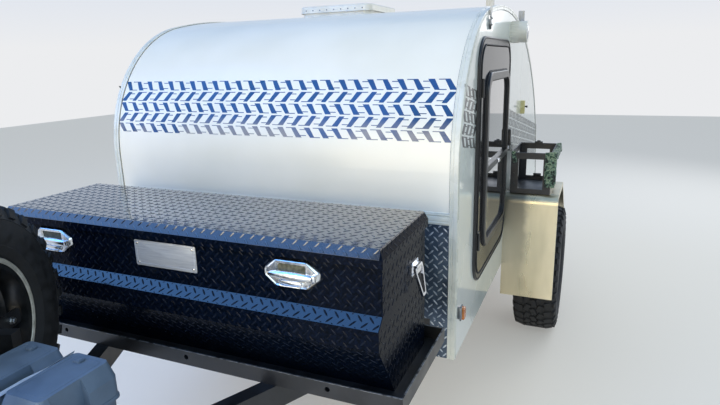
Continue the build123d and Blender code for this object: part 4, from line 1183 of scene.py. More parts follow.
# Tread blocks: (middle, width, length as a share of the pitch, turn in degrees, offset share)
TREAD_ROWS = (
    (0.000, 0.028, 0.78, 18, 0.0),
    (0.034, 0.030, 0.70, -22, 0.5),
    (-0.034, 0.030, 0.70, -22, 0.5),
    (0.076, 0.042, 0.64, 6, 0.15),
    (-0.076, 0.042, 0.64, -6, 0.65),
)


def tyre_shape(settings, outer):
    """A tyre about the X axis with its tread blocks, outer face towards +X"""
    profile = list(TYRE_SIDE) + [(radius, -x) for radius, x in reversed(TYRE_SIDE)]
    profile.append(profile[0])
    whole = turned(profile, steps=72)
    pitch = 2 * pi * outer / settings.blocks_round
    rise = settings.tread_depth + 0.006
    for number in range(settings.blocks_round):
        for at, width, share, turn, offset in TREAD_ROWS:
            block = box_shape((pitch * share, width, rise))
            top = [vert for vert in block.verts if vert.co.z > 0]
            bmesh.ops.scale(block, verts=top, vec=(0.9, 0.92, 1))
            if abs(at) > 0.05:
                outside = [vert for vert in block.verts if vert.co.y * at > 0]
                bmesh.ops.translate(block, verts=outside, vec=(0, 0, -0.011))
            rim = [edge for edge in block.edges if all(vert in top for vert in edge.verts)]
            bevel(block, rim, 0.0015, 1)
            angle = 2 * pi * (number + offset) / settings.blocks_round
            at_rim = Matrix.Rotation(angle, 4, "Z") @ placing(
                (outer - 0.0015 * (abs(at) < 0.05) - rise / 2 - 0.0006, 0, at),
                (0, 1, 0),
                (0, 0, 1),
            )
            join_into(whole, block, at_rim @ Matrix.Rotation(radians(turn), 4, "Z"))
        # Short ribs down the shoulder
        for at_side in (1, -1):
            rib = box_shape((pitch * 0.42, 0.014, 0.030))
            angle = 2 * pi * (number + 0.15 + 0.5 * (at_side < 0)) / settings.blocks_round
            lean = placing((outer - 0.030, 0, at_side * 0.1045), (0, 1, 0), (0.30, 0, at_side * 0.95))
            join_into(whole, rib, Matrix.Rotation(angle, 4, "Z") @ lean)
    bmesh.ops.rotate(whole, verts=whole.verts, cent=(0, 0, 0), matrix=Matrix.Rotation(pi / 2, 3, "Y"))
    return whole


def wheel_places(settings):
    """Name, body and matrix of each wheel, whose outer face looks along local X"""
    return (
        ("left", "wheel_left", Matrix.Translation(middle("tyre_left"))),
        ("right", "wheel_right", Matrix.Translation(middle("tyre_right")) @ Matrix.Rotation(pi, 4, "Z")),
        (
            "spare",
            "root",
            Matrix.Translation(middle("tyre_spare")) @ Matrix.Rotation(settings.spare_turn, 4, "Z"),
        ),
    )


class TRAILER_OT_wheels(bpy.types.Operator):
    """Make the tyres with their tread, and the lug nuts, valves and the spare's rim lip"""

    bl_idname = "trailer.wheels"
    bl_label = "Wheels"

    def execute(self, context):
        settings = context.scene.trailer_wheels
        outer = (high("tyre_left").z - low("tyre_left").z) / 2
        facing = Matrix.Rotation(pi / 2, 4, "Y")
        for name, body, place in wheel_places(settings):
            tyre = bmesh.new()
            join_into(tyre, tyre_shape(settings, outer), place)
            new_piece(
                f"tyre_tread_{name}", tyre, "tyre_rubber", body, [f"tyre_{name}"], crease=28
            )
            nuts = bmesh.new()
            if name != "spare":
                for number in range(LUG_COUNT):
                    angle = 2 * pi * number / LUG_COUNT
                    spot = Vector((HUB_FACE, LUG_CIRCLE * cos(angle), LUG_CIRCLE * sin(angle)))
                    join_into(nuts, bolt(0.0115, 0.02), place @ Matrix.Translation(spot) @ facing)
                cap = turned(((0, 0.016), (0.024, 0.015), (0.031, 0.008), (0.033, 0)), 28)
                join_into(nuts, cap, place @ Matrix.Translation((0.046, 0, 0)) @ facing)
            valve = turned(((0, 0.032), (0.003, 0.032), (0.0034, 0.012), (0.006, 0.010), (0.006, 0)), 14)
            join_into(nuts, valve, place @ Matrix.Translation((0.034, 0, 0.146)) @ facing)
            new_piece(f"wheel_fittings_{name}", nuts, "chrome_plate", body)
        lip = turned(
            (
                (0.1960, 0.0860),
                (0.1955, 0.1000),
                (0.1975, 0.1025),
                (0.2015, 0.1030),
                (0.2025, 0.1020),
                (0.2035, 0.1030),
                (0.2075, 0.1025),
                (0.2095, 0.1000),
                (0.2090, 0.0935),
                (0.2050, 0.0930),
                (0.2050, 0.0860),
                (0.1960, 0.0860),
            ),
            96,
        )
        whole = bmesh.new()
        join_into(whole, lip, wheel_places(settings)[2][2] @ facing)
        new_piece("spare_rim_lip", whole, "silver_lip", "root")
        return {"FINISHED"}


LUG_COUNT = 5
LUG_CIRCLE = 0.05715
HUB_FACE = 0.008


def latch_shape(width, height):
    """An eight-sided surround with a dish, a bulged lever and a scoop below, rising along Z"""
    whole = bmesh.new()
    part = bmesh.new()
    edge, shoulder = height * 0.14, width * 0.28
    corners = (
        (-width / 2, -edge),
        (-shoulder, -height / 2),
        (shoulder, -height / 2),
        (width / 2, -edge),
        (width / 2, edge),
        (shoulder, height / 2),
        (-shoulder, height / 2),
        (-width / 2, edge),
    )
    part.faces.new([part.verts.new((x, y, 0)) for x, y in corners])
    bevel(part, part.verts[:], 0.006, 3, "VERTICES")
    centre = part.faces[:]
    for step, rise in ((0.004, 0.008), (0.003, 0.002), (0.003, -0.003)):
        inset(part, centre, step, rise)
    # The dish lies in the upper half of the field
    field = centre + list({edge for face in centre for edge in face.edges})
    field += list({vert for face in centre for vert in face.verts})
    left, right, bottom, top = -0.27 * width, 0.27 * width, -0.02 * height, 0.33 * height
    for point, normal in (
        ((left, 0, 0), (1, 0, 0)),
        ((right, 0, 0), (1, 0, 0)),
        ((0, bottom, 0), (0, 1, 0)),
        ((0, top, 0), (0, 1, 0)),
    ):
        field = bmesh.ops.bisect_plane(part, geom=field, plane_co=point, plane_no=normal)["geom"]
    dish = [
        face
        for face in part.faces
        if left < face.calc_center_median().x < right
        and bottom < face.calc_center_median().y < top
        and face.normal.z > 0.9
    ]
    inset(part, dish, 0.003, -0.0050)
    join_into(whole, part)
    for size, at in (
        ((0.90 * width, 0.34 * height, 0.022), (0, -0.07 * height, 0.007)),
        ((0.46 * width, 0.26 * height, 0.014), (0, -0.29 * height, 0.007)),
    ):
        bulge = bmesh.new()
        bmesh.ops.create_uvsphere(bulge, u_segments=28, v_segments=14, radius=0.5)
        bmesh.ops.scale(bulge, verts=bulge.verts, vec=size)
        join_into(whole, bulge, at)
    lip = ring(0.40 * width, 0.20 * height, 0.09 * height, 0.002, 0.003, 0.0009)
    join_into(whole, lip, (0, -0.31 * height, 0.0125))
    block = rounded_box((0.075 * width, 0.20 * height, 0.012), 0.002, 3)
    join_into(whole, block, (0.405 * width, -0.03 * height, 0.011))
    return whole


class TRAILER_OT_tool_box_fittings(bpy.types.Operator):
    """Make the paddle latches, the blank plate with its screws, and the drop handles"""

    bl_idname = "trailer.tool_box_fittings"
    bl_label = "Tool box fittings"

    def execute(self, context):
        front_y = low("tool_box").y + LEDGE_OUT
        latch_low, latch_high = low("paddle_latches"), high("paddle_latches")
        width, height = LATCH_WIDTH, latch_high.z - latch_low.z
        latches = bmesh.new()
        for x in (latch_low.x + width / 2, latch_high.x - width / 2):
            at = on_front(x, front_y - SKIN, (latch_low.z + latch_high.z) / 2)
            join_into(latches, latch_shape(width, height), at)
        # Painted shade: a dark satin plate lies in the bottom of each latch's dish
        dishes = bmesh.new()
        for x in (latch_low.x + width / 2, latch_high.x - width / 2):
            middle_z = (latch_low.z + latch_high.z) / 2
            at = on_front(x, front_y - SKIN, middle_z + 0.155 * height)
            floor = plate(0.49 * width, 0.29 * height, 0.007, 0.0007)
            join_into(dishes, floor, at @ Matrix.Translation((0, 0, 0.0018)))
        new_piece("paddle_latch_dish_shade", dishes, "dish_shade_casting", "root")
        new_piece(
            "paddle_latch_levers", latches, "cast_chrome", "root", ["paddle_latches"], crease=40
        )

        plate_at = on_front(-0.015, front_y - SKIN, 1.008)
        face = plate(0.237, 0.084, 0.005, 0.0022, 0.0008)
        whole = bmesh.new()
        join_into(whole, face, plate_at)
        raised = ring(0.225, 0.072, 0.004, 0.003, 0.0008)
        join_into(whole, raised, plate_at @ Matrix.Translation((0, 0, 0.0021)))
        new_piece("name_plate", whole, "brushed_plate", "root")
        whole = bmesh.new()
        for x in (-0.107, 0.107):
            for y in (-0.031, 0.031):
                join_into(whole, screw(0.0042, 0.0024), plate_at @ Matrix.Translation((x, y, 0.0022)))
        new_piece("name_plate_screws", whole, "chrome_plate", "root")

        whole = bmesh.new()
        handle_y = (low("end_handles").y + high("end_handles").y) / 2
        for side in (1, -1):
            at = placing((side * high("tool_box").x, handle_y, HANDLE_PIVOT_Z), (0, side, 0), (0, 0, 1))
            for x in (-0.027, 0.027):
                for y in (-0.016, 0.016):
                    join_into(whole, screw(0.0036, 0.002), at @ Matrix.Translation((x, y, 0.003)))
            fold = turned(((0, 0.0235), (0.0075, 0.0235), (0.0075, -0.0235), (0, -0.0235)), 18)
            across = Matrix.Translation((0, 0.006, 0.011)) @ Matrix.Rotation(pi / 2, 4, "Y")
            join_into(whole, fold, at @ across)
        new_piece("drop_handle_pins", whole, "chrome_plate", "root")

        # A rolled hem along the back hinge of the lid
        lid_low, lid_high = low("tool_lid"), high("tool_lid")
        hinge = turned(((0, 0.66), (0.005, 0.66), (0.005, -0.66), (0, -0.66)), 14)
        whole = bmesh.new()
        at = Matrix.Translation((0, lid_high.y - 0.006, lid_low.z - 0.001)) @ Matrix.Rotation(pi / 2, 4, "Y")
        join_into(whole, hinge, at)
        new_piece("lid_hinge", whole, "brushed_steel", "root")
        return {"FINISHED"}


LATCH_WIDTH = 0.178
HANDLE_PIVOT_Z = 0.965


class TRAILER_OT_door_fittings(bpy.types.Operator):
    """Add the seals, beads, sashes and latches of both doors"""

    bl_idname = "trailer.door_fittings"
    bl_label = "Door fittings"

    def execute(self, context):
        for side_name, turn in SIDES:
            frame_low, frame_high = low("door_frame_left"), high("door_frame_left")
            frame_mid = middle("door_frame_left")
            width, height = DOOR_WIDTH, frame_high.z - frame_low.z
            flange_x = HALF_BODY + 0.008
            at = on_side(flange_x, DOOR_Y, frame_mid.z)
            beads = bmesh.new()
            outer = ring(width - 0.010, height - 0.010, 0.114, 0.005, 0.002, 0.0009)
            join_into(beads, outer, turn @ at)
            inner = ring(width - 0.058, height - 0.058, 0.090, 0.005, 0.006, 0.002)
            join_into(beads, inner, turn @ at @ Matrix.Translation((0, 0, -0.001)))
            new_piece(f"door_seal_{side_name}", beads, "rubber_seal", "root")

            leaf_x = HALF_BODY + 0.010
            window_low, window_high = low("door_window_left"), high("door_window_left")
            wide, tall = window_high.y - window_low.y, window_high.z - window_low.z
            centre = (window_low + window_high) / 2
            at = on_side(leaf_x, centre.y, centre.z)
            sash = bmesh.new()
            join_into(sash, ring(wide + 0.012, tall + 0.012, 0.096, 0.009, 0.004, 0.0015), turn @ at)
            join_into(
                sash,
                ring(wide - 0.062, tall - 0.062, 0.060, 0.007, 0.005, 0.002),
                turn @ at @ Matrix.Translation((0, 0, 0.0005)),
            )
            new_piece(f"window_seal_{side_name}", sash, "rubber_seal", f"door_{side_name}")

            latch = bmesh.new()
            latch_low, latch_high = low("door_handle_left"), high("door_handle_left")
            spot = (latch_low + latch_high) / 2
            lock = turned(((0, 0.004), (0.007, 0.004), (0.008, 0.003), (0.008, 0)), 20)
            at = on_side(leaf_x + 0.008, spot.y, latch_low.z + 0.013)
            join_into(latch, lock, turn @ at)
            for z in (latch_low.z + 0.006, latch_high.z - 0.006):
                at = on_side(leaf_x + 0.008, spot.y, z)
                join_into(latch, screw(0.003, 0.0015), turn @ at)
            bar_z = 1.135
            stay = rounded_box((0.010, 0.052, 0.014), 0.002)
            join_into(latch, stay, turn @ Matrix.Translation((leaf_x + 0.016, centre.y, bar_z)))
            new_piece(f"door_lock_{side_name}", latch, "chrome_plate", f"door_{side_name}")

            screws = bmesh.new()
            for z_share in (-0.38, -0.19, 0.0, 0.19, 0.38):
                for y_side in (-1, 1):
                    y = DOOR_Y + y_side * (width / 2 - 0.014)
                    at = on_side(flange_x, y, frame_mid.z + z_share * height)
                    join_into(screws, screw(0.004, 0.0018), turn @ at)
            new_piece(f"door_screws_{side_name}", screws, "moulded_black", "root")
        return {"FINISHED"}


DOOR_Y = 0.067
DOOR_WIDTH = 0.752


class TRAILER_OT_lamps(bpy.types.Operator):
    """Add the lenses, bezels and plates of the lamps and the small side fittings"""

    bl_idname = "trailer.lamps"
    bl_label = "Lamps"

    def execute(self, context):
        lamp = middle("porch_light")
        out_x = high("porch_light").x
        at = on_side(out_x - 0.034, lamp.y, lamp.z)
        bezel = turned(((0.040, 0.034), (0.0492, 0.034), (0.0492, 0.0), (0.0482, 0.0), (0.0482, 0.003)), 40)
        whole = bmesh.new()
        join_into(whole, bezel, at)
        for number in range(24):
            angle = 2 * pi * number / 24
            rib = rounded_box((0.0025, 0.004, 0.036), 0.0008)
            spot = Matrix.Rotation(angle, 4, "Z") @ Matrix.Translation((0.0488, 0, -0.022))
            join_into(whole, rib, at @ spot)
        new_piece("porch_bezel", whole, "white_moulding", "root")
        lens = turned(((0, 0.0375), (0.022, 0.0368), (0.036, 0.0345), (0.0405, 0.031)), 40)
        whole = bmesh.new()
        join_into(whole, lens, at)
        new_piece("porch_lens", whole, "frosted_lens", "root")

        whole = bmesh.new()
        ribs = bmesh.new()
        marker_y, marker_z = middle("marker_lamps").yz
        for turn in (Matrix(), MIRROR):
            at = on_side(HALF_BODY, marker_y, marker_z)
            join_into(whole, plate(0.040, 0.058, 0.010, 0.004, 0.0012), turn @ at)
            block = rounded_box((0.015, 0.013, 0.045), 0.002)
            spot = Matrix.Translation((HALF_BODY + 0.0075, FRONT_Y + 0.0405, marker_z + 0.0225))
            join_into(whole, block, turn @ spot)
            for number in range(5):
                rib = rounded_box((0.0015, 0.024, 0.003), 0.0006)
                z = marker_z - 0.016 + 0.008 * number
                spot = Matrix.Translation((high("marker_lamps").x, marker_y, z))
                join_into(ribs, rib, turn @ spot)
        new_piece("marker_plates", whole, "brushed_steel", "root")
        new_piece("marker_ribs", ribs, "amber_lens", "root")

        ribs = bmesh.new()
        bezels = bmesh.new()
        lamp_y = high("tail_lamps").y
        for side in (1, -1):
            x = side * (high("tail_lamps").x - 0.083)
            z = middle("tail_lamps").z
            for number in range(-6, 7):
                rib = rounded_box((0.002, 0.002, 0.036), 0.0006)
                join_into(ribs, rib, (x + 0.010 * number, lamp_y, z))
            at = placing((x, lamp_y - 0.018, z), (-1, 0, 0), (0, 0, 1))
            join_into(bezels, ring(0.180, 0.074, 0.036, 0.008, 0.006, 0.002), at)
        new_piece("tail_ribs", ribs, "red_lens", "root")
        new_piece("tail_bezels", bezels, "moulded_black", "root")

        whole = bmesh.new()
        for turn in (Matrix(), MIRROR):
            at = on_side(HALF_BODY, 0.965, 1.293)
            join_into(whole, plate(0.030, 0.074, 0.003, CATCH_OUT, 0.002), turn @ at)
        new_piece("side_catch_plates", whole, "cream_plate", "root")
        whole = bmesh.new()
        for turn in (Matrix(), MIRROR):
            at = on_side(HALF_BODY + CATCH_OUT, 0.968, 1.296)
            pin = turned(((0, 0.016), (0.006, 0.015), (0.007, 0.010), (0.004, 0.007), (0.004, 0)), 18)
            join_into(whole, pin, turn @ at)
        new_piece("side_catch_pins", whole, "moulded_black", "root")

        whole = bmesh.new()
        bracket_low, bracket_high = low("awning_brackets"), high("awning_brackets")
        for y in (bracket_low.y + 0.0135, bracket_high.y - 0.0135):
            crest = roof_height(y)
            for z in (crest - 0.054, crest - 0.030, crest + 0.028, crest + 0.056):
                at = on_side(HALF_BODY + 0.009, y + 0.002, z)
                join_into(whole, bolt(0.0045, 0.004), at)
        new_piece("bracket_bolts", whole, "zinc_plate", "root")
        return {"FINISHED"}


CATCH_OUT = 0.022


class TRAILER_OT_roof_vent(bpy.types.Operator):
    """Add the ribs, lip and rivets of the roof vent's lid and the screws of its base"""

    bl_idname = "trailer.roof_vent"
    bl_label = "Roof vent"

    def execute(self, context):
        lid_low, lid_high = low("vent_lid"), high("vent_lid")
        lid_mid = middle("vent_lid")
        size = lid_high.x - lid_low.x
        whole = bmesh.new()
        for number in range(-2, 3):
            rib = rounded_box((0.010, size * 0.66, 0.003), 0.0012)
            join_into(whole, rib, (lid_mid.x + number * 0.056, lid_mid.y, lid_high.z + 0.0006))
        lip = ring(size + 0.004, size + 0.004, 0.042, 0.004, 0.005, 0.0015)
        join_into(whole, lip, (lid_mid.x, lid_mid.y, lid_low.z))
        new_piece("vent_ribs", whole, "white_moulding", "vent_lid")
        whole = bmesh.new()
        for number in range(-4, 5):
            at = on_front(lid_mid.x + number * 0.040, lid_low.y, lid_low.z + 0.013)
            join_into(whole, screw(0.0035, 0.002), at)
        new_piece("vent_rivets", whole, "brushed_steel", "vent_lid")

        screws = bmesh.new()
        base_mid = middle("vent_base")
        half = (high("vent_base").x - low("vent_base").x) / 2
        for step in range(-3, 4):
            for side in (-1, 1):
                along, out = step * half * 0.28, side * (half - 0.008)
                for x, y in ((base_mid.x + along, base_mid.y + out), (base_mid.x + out, base_mid.y + along)):
                    join_into(screws, screw(0.005, 0.002), (x, y, roof_height(y) + 0.0047))
        new_piece("vent_screws", screws, "brushed_steel", "root")
        return {"FINISHED"}


class TRAILER_OT_batteries(bpy.types.Operator):
    """Add the knobs, ribs and webbing strap of the battery boxes"""

    bl_idname = "trailer.batteries"
    bl_label = "Battery boxes"

    def execute(self, context):
        lids_low, lids_high = low("battery_lids"), high("battery_lids")
        crown = lids_high.z - KNOB_RISE
        mid_y = (lids_low.y + lids_high.y) / 2
        centres = (lids_low.x + BATTERY_LID / 2, lids_high.x - BATTERY_LID / 2)
        length = lids_high.y - lids_low.y
        whole = bmesh.new()
        for x in centres:
            knob = plate(0.019, 0.014, 0.003, 0.0022, 0.0008)
            join_into(whole, knob, (x - 0.011, mid_y + 0.068, lids_high.z - 0.0004))
            panel = ring(BATTERY_LID - 0.058, length - 0.048, 0.010, 0.003, 0.0012, 0.0005)
            join_into(whole, panel, (x, mid_y + 0.003, crown - 0.0004))
            # Lip round the foot of each lid
            lip = ring(BATTERY_LID + 0.006, length + 0.006, 0.022, 0.009, 0.009, 0.003)
            join_into(whole, lip, (x, mid_y, lids_low.z))
            for side in (-1, 1):
                for number in range(-1, 2):
                    for size, rib_x, rib_y in (
                        ((0.004, 0.008, 0.098), side * (BATTERY_LID / 2 - 0.0075), number * 0.052),
                        ((0.008, 0.004, 0.098), number * 0.036, side * (length / 2 - 0.0055)),
                    ):
                        rib = rounded_box(size, 0.0012)
                        join_into(whole, rib, (x + rib_x, mid_y + rib_y, lids_low.z - 0.053))
        new_piece("battery_mouldings", whole, "battery_moulding", "root")

        # A hold-down strap twists along the groove between the lids, with its buckle
        gap_x = (centres[0] + centres[1]) / 2
        strap = bmesh.new()
        strap_z = lids_low.z + 0.012
        web = bmesh.new()
        bmesh.ops.create_grid(web, x_segments=1, y_segments=36, size=0.5)
        for vert in web.verts:
            across, along = 0.026 * vert.co.x, vert.co.y
            turn = 0.25 + 1.1 * max(0.0, along + 0.1)
            sag = 0.010 * along * along
            vert.co = (across * cos(turn), along * (length + 0.012), across * sin(turn) - sag)
        bmesh.ops.solidify(web, geom=web.faces[:], thickness=0.0016)
        join_into(strap, web, (gap_x, mid_y, lids_high.z - 0.020))
        for side in (-1, 1):
            drop = rounded_box((0.0165, 0.0025, 0.170), 0.0008)
            join_into(strap, drop, (gap_x, mid_y + side * (length / 2 + 0.006), strap_z - 0.0500))
        new_piece("battery_strap", strap, "strap_webbing", "root")
        buckle = bmesh.new()
        loop = ring(0.0172, 0.046, 0.004, 0.003, 0.008, 0.002)
        join_into(buckle, loop, (gap_x, mid_y + 0.070, strap_z + 0.0005))
        tongue = rounded_box((0.012, 0.034, 0.003), 0.001)
        join_into(buckle, tongue, (gap_x, mid_y + 0.066, strap_z + 0.008))
        new_piece("strap_buckle", buckle, "zinc_plate", "root")
        return {"FINISHED"}


BATTERY_LID = 0.152
KNOB_RISE = 0.006


class TRAILER_OT_rack_fittings(bpy.types.Operator):
    """Add the tabs and bolts of the can rack, and wind the camouflage strap round its corner post"""

    bl_idname = "trailer.rack_fittings"
    bl_label = "Rack fittings"

    def execute(self, context):
        rack_low, rack_high = low("can_rack"), high("can_rack")
        mid = middle("can_rack")
        whole = bmesh.new()
        for z in (rack_high.z + 0.003, rack_low.z + 0.030):
            tab = rounded_box((0.042, 0.012, 0.016), 0.002)
            join_into(whole, tab, (mid.x, rack_high.y, z))
        hook = rounded_box((0.018, 0.010, 0.010), 0.002)
        join_into(whole, hook, (mid.x, rack_high.y, rack_high.z + 0.012))
        for x, y in ((rack_low.x, rack_low.y), (rack_high.x, rack_high.y), (rack_low.x, rack_high.y)):
            for z in (0.05, 0.10, 0.15):
                at = placing(
                    (x + (0.018 if x < mid.x else -0.018), y, rack_low.z + z),
                    (1 if y < mid.y else -1, 0, 0),
                    (0, 0, 1),
                )
                join_into(whole, bolt(0.005, 0.004), at)
        rail = ring(
            rack_high.x - rack_low.x + 0.004,
            rack_high.y - rack_low.y + 0.004,
            0.010,
            0.008,
            0.008,
            0.003,
        )
        join_into(whole, rail, (mid.x, mid.y, rack_high.z - 0.005))
        new_piece("rack_rail", whole, "chassis_enamel", "root")

        # Folded webbing round the front corner and along the outer top rail, each turn a little askew
        corner = Vector((rack_high.x, rack_low.y, 0))
        wraps = bmesh.new()

        def fold(size, spot, turn, lean):
            web = rounded_box(size, 0.004, 3)
            tilt = Matrix.Rotation(radians(turn), 4, "X") @ Matrix.Rotation(radians(lean), 4, "Y")
            join_into(wraps, web, Matrix.Translation(spot) @ tilt)

        low_z, high_z = low("rack_strap").z, high("rack_strap").z
        turns = 6
        rise = (high_z - low_z) / turns
        for number in range(turns):
            z = low_z + rise * (number + 0.5)
            sway = 5 * sin(number * 2.3)
            spot = (corner.x - 0.004, corner.y - 0.0062, z)
            fold((0.054, 0.0115, rise * 1.12), spot, sway, 6 * cos(number * 1.9))
            spot = (corner.x + 0.0125, corner.y + 0.012, z)
            fold((0.0225, 0.040, rise * 1.10), spot, 7 * cos(number * 1.7), sway)
        along = 7
        reach = high("rack_strap").y - corner.y
        for number in range(along):
            y = corner.y + 0.020 + reach * 0.94 * (number + 0.5) / along
            fold(
                (0.0235, reach / along * 1.15, 0.047 - 0.006 * (number % 2)),
                (corner.x + 0.0125, y, rack_high.z - 0.016 + 0.002 * sin(number * 2.1)),
                5 * sin(number * 1.9),
                9 * cos(number * 2.7),
            )
        for number in range(2):
            spot = (corner.x - 0.012 + 0.018 * number, corner.y - 0.0125, low_z + 0.015)
            fold((0.022, 0.003, 0.060), spot, 0, 14 - 22 * number)
        # A short tail at the other front corner
        fold((0.020, 0.003, 0.060), (rack_low.x + 0.016, rack_low.y - 0.002, rack_high.z - 0.02), 4, -10)
        new_piece("strap_bundle", wraps, "camouflage_webbing", "root", ["rack_strap"], crease=50)
        return {"FINISHED"}


class TRAILER_OT_running_gear(bpy.types.Operator):
    """Add the bolts of the tray, axle, coupler, jack, spare carrier and fenders"""

    bl_idname = "trailer.running_gear"
    bl_label = "Running gear"

    def execute(self, context):
        heads = bmesh.new()
        down = Matrix.Rotation(pi, 4, "X")
        jack = middle("jack_leg")
        for x in (-0.033, 0.033):
            for y in (-0.033, 0.033):
                join_into(heads, bolt(0.009, 0.010), (jack.x + x, jack.y + y, 0.665))
        for x in (-0.06, 0.06):
            spot = (x * 0.55, jack.y - 0.085, high("tongue_frame").z + 0.004)
            join_into(heads, bolt(0.009, 0.009), spot)
        for side in (-1, 1):
            for y in (-0.052, 0.052):
                spot = Matrix.Translation((side * 0.705, 0.738 + y, 0.571)) @ down
                join_into(heads, bolt(0.010, 0.012), spot)
        carrier = Matrix.Translation(middle("tyre_spare")) @ Matrix.Rotation(
            context.scene.trailer_wheels.spare_turn, 4, "Z"
        )
        out = Matrix.Rotation(pi / 2, 4, "Y")
        join_into(heads, bolt(0.013, 0.014), carrier @ Matrix.Translation((0.076, -0.030, -0.023)) @ out)
        for y in (0.13, -0.13):
            join_into(heads, bolt(0.010, 0.012), carrier @ Matrix.Translation((0.076, y, -0.023)) @ out)
        new_piece("frame_bolts", heads, "zinc_plate", "root")

        rivets = bmesh.new()
        for turn in (Matrix(), MIRROR):
            fender_low, fender_high = low("fender_left"), high("fender_left")
            for z in (0.40, 0.52, 0.64, 0.76):
                at = on_front(fender_low.x + 0.010, fender_low.y, z)
                join_into(rivets, screw(0.004, 0.002), turn @ at)
            for y in (0.55, 0.67, 0.79):
                spot = Matrix.Translation((fender_low.x + 0.012, y, fender_high.z))
                join_into(rivets, screw(0.004, 0.002), turn @ spot)
        new_piece("fender_rivets", rivets, "mill_aluminium", "root")

        grip = turned(
            (
                (0, 0.088),
                (0.014, 0.087),
                (0.0165, 0.080),
                (0.0165, 0.010),
                (0.0185, 0.004),
                (0.0185, 0),
                (0, 0),
            ),
            24,
        )
        whole = bmesh.new()
        reach = high("jack_tube").x
        at = Matrix.Translation((reach - 0.084, jack.y - 0.150, 0.929)) @ out
        join_into(whole, grip, at)
        new_piece("crank_grip", whole, "rubber_seal", "root")
        return {"FINISHED"}


class TRAILER_OT_hatch_fittings(bpy.types.Operator):
    """Add the pull and lock of the galley hatch, and the edging of the galley counter"""

    bl_idname = "trailer.hatch_fittings"
    bl_label = "Hatch fittings"

    def execute(self, context):
        handle = middle("hatch_handle")
        out_y = high("hatch_handle").y
        at = placing((handle.x, out_y - 0.008, handle.z), (-1, 0, 0), (0, 0, 1))
        whole = bmesh.new()
        join_into(whole, ring(0.150, 0.054, 0.010, 0.012, 0.006, 0.002), at)
        lever = raise_faces(outline_face(0.088, 0.022, 0.008), 0.012, 0.004, 3)
        join_into(whole, lever, at)
        lock = turned(((0, 0.006), (0.007, 0.006), (0.008, 0.005), (0.008, 0)), 20)
        join_into(whole, lock, at @ Matrix.Translation((0.060, 0, 0.004)))
        new_piece("hatch_pull", whole, "chrome_plate", "hatch")

        # Pale edge banding on the counter
        galley_low, galley_high = low("galley"), high("galley")
        band = bmesh.new()
        counter = rounded_box((galley_high.x - galley_low.x, 0.003, 0.018), 0.0008)
        join_into(band, counter, (0, galley_high.y + 0.001, 0.929))
        new_piece("counter_edge", band, "brushed_steel", "root")
        return {"FINISHED"}


class TRAILER_OT_node_finishes(bpy.types.Operator):
    """Give every node of the frame its finish"""

    bl_idname = "trailer.node_finishes"
    bl_label = "Node finishes"

    def execute(self, context):
        left = set(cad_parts)
        for finish_name, names in NODE_FINISHES:
            for name in names:
                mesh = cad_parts[name].data
                mesh.materials.clear()
                mesh.materials.append(finish(finish_name))
                left.discard(name)
        if left:
            raise RuntimeError(f"no finish for {sorted(left)}")
        return {"FINISHED"}


def area_light(name, place, target, size, power, colour=(1, 1, 1)):
    """A soft square light that looks at a point"""
    data = bpy.data.lights.new(name, "AREA")
    data.shape = "SQUARE"
    data.size = size
    data.energy = power
    data.color = colour
    lamp = bpy.data.objects.new(name, data)
    bpy.context.scene.collection.objects.link(lamp)
    lamp.location = place
    aim = Vector(target) - Vector(place)
    lamp.rotation_euler = aim.to_track_quat("-Z", "Y").to_euler()
    return lamp


def background_rays(tree):
    """A node that is 1 for camera, glossy and transmission rays, which show the background"""
    path = add_node(tree, "ShaderNodeLightPath")
    either = add_node(
        tree,
        "ShaderNodeMath",
        links={0: path.outputs["Is Camera Ray"], 1: path.outputs["Is Glossy Ray"]},
        operation="MAXIMUM",
    )
    through = path.outputs["Is Transmission Ray"]
    return add_node(tree, "ShaderNodeMath", links={0: either, 1: through}, operation="MAXIMUM")


